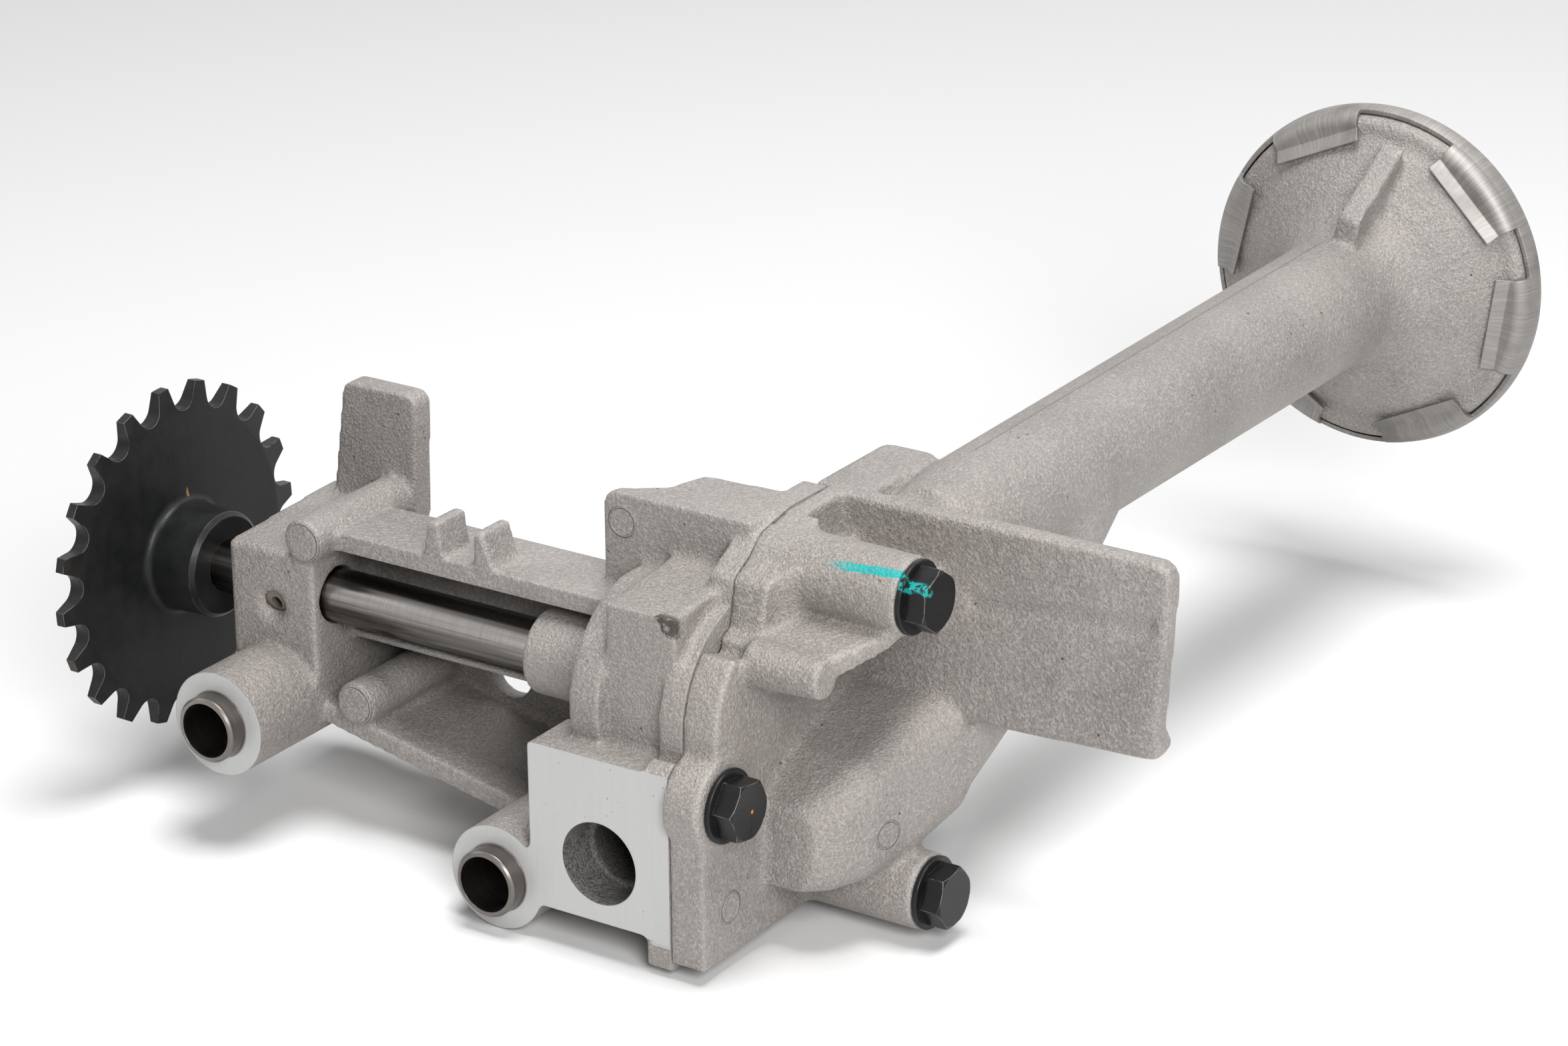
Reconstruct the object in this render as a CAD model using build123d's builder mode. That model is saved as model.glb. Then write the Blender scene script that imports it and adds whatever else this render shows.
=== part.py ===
"""Chain driven oil pump with a cast suction tube and a crimped strainer.

Units are millimetres and +Z is up.
X runs along the drive shaft from the sprocket to the pump body.
The machined mounting faces look along -Y and the suction tube runs off along +Y.
The origin is on the drive shaft axis, level with the front mounting bolt.
"""
import math
import os

from build123d import *

os.makedirs("parts", exist_ok=True)

# Shaft, bushes and running clearances
shaft_r = 5.0
running_gap = 0.04
body_gap = 0.35
bush_wall = 1.25
bush_r = shaft_r + bush_wall
shaft_hole_r = shaft_r + body_gap
shaft_chamfer = 0.6
shaft_tail = 4.16
shaft_nose = 1.16

# Overlap that joins two forms of one casting
lap = 1.0

# Chain sprocket
teeth = 20
chain_pitch = 9.525
sprocket_tip_r = 32.93
pitch_r = chain_pitch / (2 * math.sin(math.pi / teeth))
tooth_phase = 3.7
seat_r = 2.8
seat_lift = 0.3
seat_angle = math.radians(68)
gullet_reach = 3.0
plate_face = -27.14
plate_thick = 3.2
tip_thick = 1.8
bevel_start_r = 27.6
hub_r = 10.1
hub_taper = 0.4
hub_end = -16.6
hub_chamfer = 0.8
sprocket_fillet = 1.6

# Pump body along the drive shaft
parting = 99.44
body_length = 23.94
body_left = parting - body_length
end_wall = 4.0
chamber_left = body_left + end_wall
body_r = 19.6
joint_flange = 5.0
pump_hub_r = 8.0
hub_left = body_left - 18.5
rear_bush_left = body_left - 13.5

# Mounting face, bosses and dowel sleeves
mount_y = -24.09
boss_a = (0.0, -19.27)
boss_b = (parting - 36.93, -33.65)
boss_a_r = 10.0
boss_b_r = 9.8
boss_depth = 48.5
bolt_hole_r = 4.5
sleeve_r = 6.25
sleeve_seat_r = 6.45
sleeve_bore_r = 5.25
sleeve_out = 3.6
sleeve_in = 9.0
sleeve_chamfer = 0.4

# Bearing support next to the sprocket
block_left = -9.6
block_right = 10.0
block_front = -7.5
block_back = 24.0
block_low = -16.0
block_top_front = 9.2
block_top_back = 11.0
front_bush_left = -9.2
front_bush_right = 7.0
tab_front = 19.0
tab_back = 24.0
tab_root = 8.0
tab_top = 33.4
tab_foot = (-6.2, 13.3)
tab_head = (-2.6, 14.3)
tab_corner = 2.6
stub_r = 4.2
stub_a = (8.7, 12.8)
stub_a_front = -8.6
stub_b = (18.7, -17.2)
stub_b_front = -8.0
oil_hole = (0.1, -1.7)
oil_hole_r = 1.2
countersink_r = 3.4
countersink_end_r = 1.3
countersink_depth = 2.2

# Beam between the support and the pump body
beam_front = -3.5
beam_back = 12.6
beam_top = 14.0
beam_low = 10.3
beam_wall = 3.4
shelf_front = 3.0
shelf_top = -7.9
shelf_low = -9.5
web_front = -6.0
web_thick = 4.0
web_lift = 1.5
wall_front = 19.5
wall_back = 23.5
wall_left = 20.0
wall_low = -36.0
side_wall_front = 21.5
side_wall_low = -26.0
beam_fin_top = 20.8
beam_fin_depth = 8.6
# Left foot, left top, right top and right foot of each fin along the beam
beam_fins = ((32.3, 33.7, 36.0, 37.2), (43.4, 43.9, 45.9, 48.2))
slot_centre = (33.6, -16.0)
slot_length = 13.0
slot_width = 9.4

# Gears
gear_module = 2.4
gear_teeth = 10
pressure_angle = math.radians(28)
backlash = 0.24
gear_pitch_r = gear_module * gear_teeth / 2
gear_tip_r = gear_pitch_r + gear_module
gear_root_r = gear_pitch_r - 1.25 * gear_module
chamber_r = gear_tip_r + body_gap
gear_end_gap = 0.36
gear_left = chamber_left + gear_end_gap
gear_right = parting - gear_end_gap
mesh_angle = -22.62
idler_pin_r = 5.0
idler_pin_left = body_left - 8.0
idler_pin_right = parting - body_gap
idler_boss_r = 9.0
idler_boss_left = body_left - 9.5
key_half = 1.5
key_low = 3.2
key_high = 6.2
key_slack = 0.1
key_left = gear_left + 2.0
key_right = gear_right - 3.0
pocket_left = chamber_left + 2.5
pressure_pocket_right = parting - 2.44
pressure_pocket_y = (-1.0, 13.0)
pressure_pocket_z = (-24.0, -11.0)
suction_pocket_y = (10.0, 38.0)
suction_pocket_z = (3.0, 13.0)

# Outlet face and outlet passage
outlet_left = boss_b[0] + 7.55
outlet_low = -36.49
outlet_top = -5.47
outlet_back = -12.0
outlet_bore = (parting - 14.68, -25.24)
outlet_r = 7.73
outlet_step = 7.0
outlet_inner_r = 6.2
outlet_end = 10.0

# Relief valve behind the outlet passage
relief_axis = (outlet_bore[0] - 6.76, -33.0)
relief_bore_r = 4.2
relief_boss_r = 6.6
relief_boss_front = -2.0
relief_boss_back = 34.0
relief_seat_y = 6.0
relief_seat_r = 3.0
relief_feed_front = -8.0
piston_length = 10.0
piston_wall = 1.0
piston_crown = 2.0
relief_rest_gap = 0.1
spill_y = 9.0
spill_r = 1.5
plug_reach = 6.0
plug_head_r = 5.4
plug_head_thick = 3.0
plug_head_chamfer = 0.6
plug_hex_flats = 5.0
plug_hex_depth = 4.0
seal_thick = 1.2
spring_r = 2.8
spring_wire_r = 0.5
spring_turns = 6

# Blocks of the pump body
top_z = 31.4
suction_block_y = (0.0, 40.0)
suction_block_z = (0.0, 19.0)
lower_body_left = body_left - 3.0
lower_body_y = (-14.0, 24.0)
lower_body_z = (-36.4, -4.0)
foot_left = parting - 9.44
foot_y = (-20.0, 10.0)
foot_z = (-38.6, -30.0)
upper_base = 10.0
upper_front = 3.9
upper_left = body_left - 8.3
upper_nose_y = 5.5
upper_bend = (body_left - 3.9, 7.65)
upper_knee = (body_left + 0.8, 11.0)
upper_step = (body_left + 3.1, 19.0)
upper_right = parting - 1.2
upper_back = 20.4
upper_corner = 2.6
mid_front = -16.9
mid_left = body_left + 6.4
mid_right = parting - 2.84
mid_top_front = 20.4
mid_top_back = 22.4
strip_left = parting - 3.84
strip_base = 16.0
strip_back = 26.6

# Cover, bolts and locating pins
flange_front_y = -24.0
flange_thick = 7.06
flange_x = parting + flange_thick
housing_bottom = -42.3
cover_bottom = -40.6
cover_bolt_r = 3.0
cover_hole_r = 3.35
bolt_a = (7.8, 23.4)
bolt_b = (-17.6, -11.0)
bolt_c = (13.6, -34.6)
bolt_d = (44.0, -32.5)
high_seat = parting + 29.46
low_seat = parting + 7.56
boss_r = 7.0
ear_r = 8.6
washer_r = 6.7
washer_thick = 1.0
washer_round = 0.3
hex_flats = 10.0
hex_height = 4.0
hex_bevel = 0.7
hex_bevel_angle = math.radians(30)
# Turn of each bolt head in degrees, as the bolts were left after tightening
bolt_turns = (24.0, 52.0, 8.0, 15.0)
bolt_end = parting - 13.44
thread_runout = 1.0
pin_r = 2.5
pin_length = 8.0
pin_chamfer = 0.4
pin_bottom_gap = 0.4
pin_spots = ((-18.5, -31.5), (34.0, 19.0))
pin_boss_r = 5.0
thread_boss_left = parting - 15.44
thread_boss_r = 6.2

# Saddle, stub and web beside the high bolt
recess_left = parting + 3.96
recess_front = 13.2
recess_floor = 23.5
saddle_right = high_seat - 5.0
cover_stub = (-7.4, 11.7)
cover_stub_root_r = 4.4
cover_stub_left = flange_x - 0.4
cover_stub_r = 3.6
cover_stub_end = parting + 21.6
web_stub_top = (cover_stub[0], cover_stub[1] + 3.3)
web_stub_low = (cover_stub[0] + 3.2, cover_stub[1])
web_boss_top = (bolt_a[0] - 4.4, bolt_a[1] - 5.5)
web_boss_low = (bolt_a[0] - 1.0, bolt_a[1] - 6.9)
web_stub_end = cover_stub_end - 0.6
web_boss_end = high_seat - 1.5
shoulder_front = -5.0
shoulder_corner = (parting + 4.56, -4.6)
shoulder_right = parting + 11.56
shoulder_right_y = 2.4
shoulder_back = 8.0
shoulder_low = 10.0
shoulder_right_low = 19.5

# Corners of the joint face, in y and z
ear_drop = 6.0
outline_notch = (-6.0, 11.2)
outline_front = ((-3.4, 24.0), (2.3, 27.2), (5.2, 29.6))
outline_top_y = 14.5
outline_back = (
    (strip_back, 25.5),
    (40.0, 22.0),
    (44.6, 8.0),
    (44.6, -20.0),
    (51.0, -29.0),
    (51.0, -37.0),
    (46.0, -40.0),
    (36.0, -37.0),
)
outline_foot_y = 20.0
outline_foot_rise = 0.6
outline_low_y = 8.0

# Baffle plate and tongue
baffle_front = 25.0
baffle_back = 29.0
baffle_reach = 69.06
baffle_right = parting + baffle_reach
baffle_low = -7.0
baffle_corner = 3.2
baffle_round = 1.2
groove_start = (parting + 29.56, 16.0)
groove_reach = 66.36
groove_end = (parting + groove_reach, 19.75)
groove_r = 3.0
groove_depth = 0.8
lug_centre = (baffle_right - 4.0, baffle_low + 4.4)
lug_r = 2.6
lug_inset = 0.4
lug_rise = 0.8
tongue_left = parting - 3.04
tongue_right = parting + 8.56
tongue_back = 50.2
tongue_low = 27.4
tongue_corner = 2.0

# Suction duct in the cover
duct_left = parting + 0.56
cavity_left = parting + 5.06
port_y = (29.5, 38.0)
port_z = (3.0, 13.0)
port_lap = 0.5

# Suction tube and bell
tube_x = parting + 18.56
tube_z = 22.5
tube_start_r = 10.6
tube_full_r = 12.2
tube_end_r = 13.2
tube_bore_start_r = 9.1
tube_bore_end_r = 10.0
tube_start_y = 30.0
tube_full_y = 44.0
tube_bore_y = 60.0
rim_y = 201.6
fold_r = 32.6
fold_out = 1.6
rim_r = fold_r + fold_out
rim_depth = 7.8
rim_end_y = rim_y + rim_depth
flare_start_y = rim_y - 16.6
flare_mid = (rim_y - 10.4, 15.8)
flare_end = (rim_y - 6.6, 20.8)
bell_lip_inset = 2.2
bell_lip_r = fold_r - bell_lip_inset
rim_flat_inset = 0.2
rim_flat_r = fold_r - rim_flat_inset
rim_round = 1.8
rim_round_mid = (rim_y + 0.62, rim_r - 0.7)
rim_taper_y = rim_y + 4.4
rim_back_inset = 2.8
rim_back_r = rim_r - rim_back_inset
bell_mouth_inset = 1.8
bell_mouth_r = bell_lip_r - bell_mouth_inset
bell_inner_start_y = rim_y - 14.6
bell_inner_mid = (rim_y - 8.6, 12.8)
bell_inner_end = (rim_y - 5.0, 17.6)
bell_inner_rim = (rim_y + 2.6, bell_mouth_r - 1.4)

# Gusset on the back of the bell
fin_thick = 5.0
fin_angle = math.radians(79.0)
fin_front_y = rim_y - 17.8
fin_low_r = 12.5
fin_front_r = 18.6
fin_top = (rim_y - 3.1, bell_lip_r + 0.9)
fin_notch = (rim_y - 2.8, bell_lip_r - 1.4)
fin_pocket = (rim_y - 13.1, 17.5)
fin_pocket_r = 3.3
fin_pocket_depth = 0.8

# Strainer cup and screen
cup_thick = 0.9
cup_gap = 0.2
cup_lip_r = rim_r + cup_gap
cup_bulge = 0.4
cup_belly_y = rim_y + 5.2
cup_floor_inset = 2.3
cup_floor_r = rim_r - cup_floor_inset
cup_floor_round = 0.5
cup_window_inset = 5.4
cup_window_r = cup_floor_r - cup_window_inset
screen_gap = 0.05
screen_thick = 0.6
screen_inset = 3.0
screen_r = rim_r - screen_inset
screen_pitch = 4.4
screen_hole = 3.2
screen_rows = 11
screen_border = 3.0
cup_floor_y = rim_end_y + 2 * screen_gap + screen_thick + cup_thick
fold_y = rim_y - cup_thick
fold_mid = (fold_y + 0.6, rim_r)
fold_inner_mid = (rim_y + 0.4, rim_r - 0.6)
tab_angles = (168.0, 114.0, 44.5, -7.5, -64.0, -124.0)
tab_reach_inset = 2.2
tab_reach_r = bell_lip_r - tab_reach_inset
tab_bend_r = bell_lip_r + 0.2
tab_width = 19.4
tab_lift = 1.65


def station(x):
    """Plane across the drive shaft at x, drawn with y to the right and z up."""
    return Plane(origin=(x, 0, 0), x_dir=(0, 1, 0), z_dir=(1, 0, 0))


def frontal(y):
    """Plane at y that faces the mounting side, drawn with x to the right and z up."""
    return Plane(origin=(0, y, 0), x_dir=(1, 0, 0), z_dir=(0, -1, 0))


def polar(radius, angle, centre=(0.0, 0.0)):
    """Point at a radius and an angle in degrees from a centre."""
    turn = math.radians(angle)
    return (centre[0] + radius * math.cos(turn), centre[1] + radius * math.sin(turn))


def rod(centre, radius, left, right):
    """Solid round bar along x."""
    base = Plane(origin=(left, centre[0], centre[1]), x_dir=(0, 1, 0), z_dir=(1, 0, 0))
    return Solid.make_cylinder(radius, right - left, base)


def post(centre, radius, front, back):
    """Solid round bar along y from a front station to a back station."""
    base = Plane(origin=(centre[0], front, centre[1]), x_dir=(1, 0, 0), z_dir=(0, 1, 0))
    return Solid.make_cylinder(radius, back - front, base)


def bar(start, end, radius):
    """Solid round bar between two points."""
    along = Vector(*end) - Vector(*start)
    return Solid.make_cylinder(radius, along.length, Plane(origin=start, z_dir=along))


def brick(x, y, z):
    """Solid block between the given x, y and z limits."""
    size = (x[1] - x[0], y[1] - y[0], z[1] - z[0])
    return Pos(x[0], y[0], z[0]) * Solid.make_box(*size)


idler = polar(2 * gear_pitch_r, mesh_angle)
cover_bolts_at = ((bolt_a, high_seat), (bolt_b, low_seat), (bolt_c, high_seat), (bolt_d, low_seat))


# Outline shared by the pump body and its cover
def joint_outline(bottom, notch):
    """Edge of the joint face, as lines and arcs in y and z, with or without the cover's notch."""
    low = Line((flange_front_y, bottom), (flange_front_y, bolt_b[1] - ear_drop))
    side = polar(ear_r, 180, bolt_b)
    top_b = polar(ear_r, 118, bolt_b)
    ear = ThreePointArc(low @ 1, side, top_b)
    barrel_start = polar(body_r, 196)
    step = Line(ear @ 1, barrel_start)
    barrel_end = polar(body_r, 134 if notch else 104)
    barrel = ThreePointArc(step @ 1, polar(body_r, 165 if notch else 150), barrel_end)
    notch_points = [outline_notch] if notch else []
    Polyline(
        barrel @ 1,
        *notch_points,
        *outline_front,
        (outline_top_y, top_z),
        (strip_back, top_z),
        *outline_back,
        (outline_foot_y, bottom + outline_foot_rise),
        (outline_low_y, bottom),
        low @ 0,
    )


# Upper block of the pump body, rounded at its free corner
with BuildPart() as upper_block:
    with BuildSketch(Plane.XY.offset(upper_base)):
        Polygon(
            (upper_left, upper_front),
            (upper_right, upper_front),
            (upper_right, upper_back),
            upper_step,
            upper_knee,
            upper_bend,
            (upper_left, upper_nose_y),
            align=None,
        )
    extrude(amount=top_z - upper_base)
    free_edge = edges().group_by(Axis.Z)[-1].sort_by(Axis.X)[0]
    fillet(free_edge, radius=upper_corner)

# Pump body casting
with BuildPart() as pump_housing:
    with BuildSketch(station(block_left)):
        Polygon(
            (block_front, block_low),
            (block_back, block_low),
            (block_back, block_top_back),
            (block_front, block_top_front),
            align=None,
        )
    extrude(amount=block_right - block_left)
    # Upright tab on the back of the support
    with BuildSketch(frontal(tab_front)):
        Polygon(
            (tab_foot[0], tab_root),
            (tab_foot[1], tab_root),
            (tab_head[1], tab_top),
            (tab_head[0], tab_top),
            align=None,
        )
        fillet(vertices().group_by(Axis.Y)[-1], radius=tab_corner)
    extrude(amount=tab_front - tab_back)
    add(post(stub_a, stub_r, stub_a_front, tab_front + lap))
    # Mounting bosses
    add(post(boss_a, boss_a_r, mount_y, mount_y + boss_depth))
    add(post(boss_b, boss_b_r, mount_y, mount_y + boss_depth))
    # Beam over the shaft, its back wall and the shelf under the shaft
    beam_x = (block_right - lap, body_left + lap)
    add(brick(beam_x, (beam_front, beam_back), (beam_low, beam_top)))
    add(brick(beam_x, (beam_back - beam_wall, beam_back), (shelf_low, beam_top)))
    add(brick(beam_x, (shelf_front, wall_back), (shelf_low, shelf_top)))
    add(brick((wall_left, body_left + lap), (wall_front, wall_back), (wall_low, shelf_top)))
    add(brick((block_right - 2 * lap, wall_left), (side_wall_front, wall_back), (side_wall_low, shelf_top)))
    for foot_start, top_start, top_end, foot_end in beam_fins:
        with BuildSketch(frontal(beam_front)):
            Polygon(
                (foot_start, beam_top - lap),
                (foot_end, beam_top - lap),
                (top_end, beam_fin_top),
                (top_start, beam_fin_top),
                align=None,
            )
        extrude(amount=-beam_fin_depth)
    # Sloping web that joins the two mounting bosses
    with BuildSketch(frontal(web_front)):
        Polygon(
            (boss_a[0], boss_a[1] - web_thick / 2),
            (boss_b[0], boss_b[1] + web_lift - web_thick / 2),
            (boss_b[0], boss_b[1] + web_lift + web_thick / 2),
            (boss_a[0], boss_a[1] + web_thick / 2),
            align=None,
        )
    extrude(amount=web_front - wall_back)
    add(post(stub_b, stub_r, stub_b_front, wall_front + lap))
    # Barrel around both gears, hub for the drive shaft and idler boss
    add(rod((0, 0), body_r, body_left, parting))
    add(rod(idler, body_r, body_left, parting))
    add(rod((0, 0), pump_hub_r, hub_left, body_left + lap))
    add(rod(idler, idler_boss_r, idler_boss_left, body_left + lap))
    add(brick((body_left, parting), suction_block_y, suction_block_z))
    # Flat front over the drive gear
    flat_x = (mid_left, parting - joint_flange)
    add(brick(flat_x, (-body_r - lap, mid_front), (-body_r, body_r)), mode=Mode.SUBTRACT)
    # Outlet block and the lower body behind it
    add(brick((outlet_left, parting), (mount_y, outlet_back), (outlet_low, outlet_top)))
    add(brick((lower_body_left, parting), lower_body_y, lower_body_z))
    add(brick((foot_left, parting), foot_y, foot_z))
    add(post(relief_axis, relief_boss_r, relief_boss_front, relief_boss_back))
    # Upper blocks
    add(upper_block.part)
    add(brick((strip_left, parting), (upper_back - lap, strip_back), (strip_base, top_z)))
    with BuildSketch(station(mid_left)):
        Polygon(
            (mid_front, outlet_top - lap),
            (upper_front + lap, outlet_top - lap),
            (upper_front + lap, mid_top_back),
            (mid_front, mid_top_front),
            align=None,
        )
    extrude(amount=mid_right - mid_left)
    # Bosses for the lower cover bolts and the rear locating pin
    for spot in (bolt_c, bolt_d):
        add(rod(spot, thread_boss_r, thread_boss_left, parting))
    add(rod(pin_spots[1], pin_boss_r, thread_boss_left, parting))
    # Joint flange
    with BuildSketch(station(parting - joint_flange)):
        with BuildLine():
            joint_outline(housing_bottom, notch=False)
        make_face()
    extrude(amount=joint_flange)

    # Gear chambers
    add(rod((0, 0), chamber_r, chamber_left, parting), mode=Mode.SUBTRACT)
    add(rod(idler, chamber_r, chamber_left, parting), mode=Mode.SUBTRACT)
    # Pressure pocket and suction pocket beside the mesh
    pressure_x = (pocket_left, pressure_pocket_right)
    add(brick(pressure_x, pressure_pocket_y, pressure_pocket_z), mode=Mode.SUBTRACT)
    add(brick((pocket_left, parting), suction_pocket_y, suction_pocket_z), mode=Mode.SUBTRACT)
    # Outlet passage, stepped from the face
    add(post(outlet_bore, outlet_r, mount_y, mount_y + outlet_step), mode=Mode.SUBTRACT)
    add(post(outlet_bore, outlet_inner_r, mount_y, outlet_end), mode=Mode.SUBTRACT)
    # Shaft line
    add(rod((0, 0), bush_r, block_left, front_bush_right), mode=Mode.SUBTRACT)
    add(rod((0, 0), shaft_hole_r, block_left, block_right), mode=Mode.SUBTRACT)
    add(rod((0, 0), shaft_hole_r, hub_left, chamber_left), mode=Mode.SUBTRACT)
    add(rod((0, 0), bush_r, rear_bush_left, chamber_left), mode=Mode.SUBTRACT)
    add(rod(idler, idler_pin_r, idler_pin_left, chamber_left), mode=Mode.SUBTRACT)
    # Relief valve bore with its seat, feed and spill hole
    add(post(relief_axis, relief_bore_r, relief_seat_y, relief_boss_back), mode=Mode.SUBTRACT)
    add(post(relief_axis, relief_seat_r, relief_feed_front, relief_seat_y), mode=Mode.SUBTRACT)
    feed_x = (relief_axis[0] - relief_seat_r / 2, outlet_bore[0])
    feed_y = (relief_feed_front, relief_feed_front + 2 * relief_seat_r)
    feed_z = (relief_axis[1], outlet_bore[1])
    add(brick(feed_x, feed_y, feed_z), mode=Mode.SUBTRACT)
    spill = Plane(origin=(relief_axis[0], spill_y, relief_axis[1]), z_dir=(0, 0, -1))
    add(Solid.make_cylinder(spill_r, relief_boss_r + lap, spill), mode=Mode.SUBTRACT)
    # Mounting bolt holes and sleeve counterbores
    for boss in (boss_a, boss_b):
        add(post(boss, bolt_hole_r, mount_y, mount_y + boss_depth), mode=Mode.SUBTRACT)
        add(post(boss, sleeve_seat_r, mount_y, mount_y + sleeve_in), mode=Mode.SUBTRACT)
    # Slot through the back wall
    with BuildSketch(frontal(wall_front)):
        with Locations(slot_centre):
            SlotOverall(slot_length, slot_width, rotation=90)
    extrude(amount=wall_front - wall_back, mode=Mode.SUBTRACT)
    # Countersunk oil hole on the front of the support
    sink = Plane(origin=(oil_hole[0], block_front, oil_hole[1]), z_dir=(0, 1, 0))
    add(Solid.make_cone(countersink_r, countersink_end_r, countersink_depth, sink), mode=Mode.SUBTRACT)
    add(post(oil_hole, oil_hole_r, block_front, -shaft_r), mode=Mode.SUBTRACT)
    # Threaded holes for the cover bolts and holes for the locating pins
    for spot, seat in cover_bolts_at:
        add(rod(spot, cover_bolt_r, bolt_end - thread_runout, parting), mode=Mode.SUBTRACT)
    for spot in pin_spots:
        add(rod(spot, pin_r, parting - pin_length / 2 - pin_bottom_gap, parting), mode=Mode.SUBTRACT)
pump_housing.part.label = "pump_housing"
export_step(pump_housing.part, "parts/pump_housing.step")


# Pump cover casting with the suction tube and bell
def duct_section(left, right, corner, low, high):
    """Closed section in x and z with a flat left side and rounded right corners."""
    middle = right - corner
    cut = corner * (1 - math.sin(math.radians(45)))
    Polyline((middle, high), (left, high), (left, low), (middle, low))
    ThreePointArc((middle, low), (right - cut, low + cut), (right, low + corner))
    Line((right, low + corner), (right, high - corner))
    ThreePointArc((right, high - corner), (right - cut, high - cut), (middle, high))


# Each section is its y, left and right ends in x, corner radius, and low and high ends in z
duct_sections = (
    (27.0, duct_left, tube_x + 12.0, 12.0, -26.0, 20.0),
    (43.0, duct_left, tube_x + 12.3, 12.3, -18.6, 22.3),
    (62.0, tube_x - 8.0, tube_x + 12.4, 12.4, -4.4, 26.4),
    (80.0, tube_x - 1.0, tube_x + 12.2, 12.2, tube_z - 12.8, tube_z + 12.0),
)
bulge_sections = (
    (-5.6, duct_left, parting + 17.2, 4.5, -31.0, -15.2),
    (-2.0, duct_left, parting + 21.4, 5.5, -31.4, -12.2),
    (4.0, duct_left, parting + 24.2, 5.5, -31.3, -8.2),
    (14.0, duct_left, parting + 26.6, 5.5, -29.7, -5.2),
    (27.5, duct_left, parting + 29.0, 6.5, -26.0, -1.5),
)
cavity_sections = (
    (3.0, cavity_left, tube_x - 1.0, 6.0, -28.5, -13.0),
    (14.0, cavity_left, tube_x + 4.5, 7.6, -26.6, -7.9),
    (26.5, cavity_left, tube_x + 7.2, 8.6, -23.3, -5.4),
    (30.5, cavity_left, tube_x + 7.3, 8.6, -21.8, 15.6),
    (43.0, cavity_left, tube_x + 9.0, 9.0, -15.3, 18.4),
    (62.0, tube_x - 4.5, tube_x + 9.2, 9.2, -1.2, 23.0),
    (80.0, tube_x - 1.0, tube_x + 9.0, 9.0, tube_z - 9.6, tube_z + 8.6),
)
tube_axis = Axis((tube_x, 0, tube_z), (0, 1, 0))
tube_plane = Plane(origin=(tube_x, 0, tube_z), x_dir=(0, 1, 0), z_dir=(1, 0, 0))

# Web from the top of the stub to the high bolt boss, cut back towards the stub
with BuildPart() as cover_web:
    with BuildSketch(station(parting)):
        Polygon(web_stub_top, web_boss_top, web_boss_low, web_stub_low, align=None)
    extrude(amount=web_boss_end - parting)
    with BuildSketch(Plane.XY.offset(web_stub_low[1])):
        Polygon(
            (parting, web_stub_top[0]),
            (web_stub_end, web_stub_top[0]),
            (web_boss_end, web_boss_top[0]),
            (web_boss_end, web_boss_low[0]),
            (parting, web_boss_low[0]),
            align=None,
        )
    extrude(amount=web_boss_top[1] - web_stub_low[1], mode=Mode.INTERSECT)

# Shoulder beside the high bolt boss, with a chamfered front and a rising underside
with BuildPart() as cover_shoulder:
    with BuildSketch(station(parting)):
        with BuildLine():
            joint_outline(cover_bottom, notch=True)
        make_face()
    extrude(amount=shoulder_right - parting)
    with BuildSketch(Plane.XY.offset(shoulder_low)):
        Polygon(
            (parting, shoulder_front),
            shoulder_corner,
            (shoulder_right, shoulder_right_y),
            (shoulder_right, shoulder_back),
            (parting, shoulder_back),
            align=None,
        )
    extrude(amount=top_z - shoulder_low, mode=Mode.INTERSECT)
    with BuildSketch(frontal(shoulder_front)):
        Polygon(
            (parting, shoulder_low),
            (shoulder_corner[0], shoulder_low),
            (shoulder_right, shoulder_right_low),
            (shoulder_right, top_z),
            (parting, top_z),
            align=None,
        )
    extrude(amount=shoulder_front - shoulder_back, mode=Mode.INTERSECT)

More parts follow.
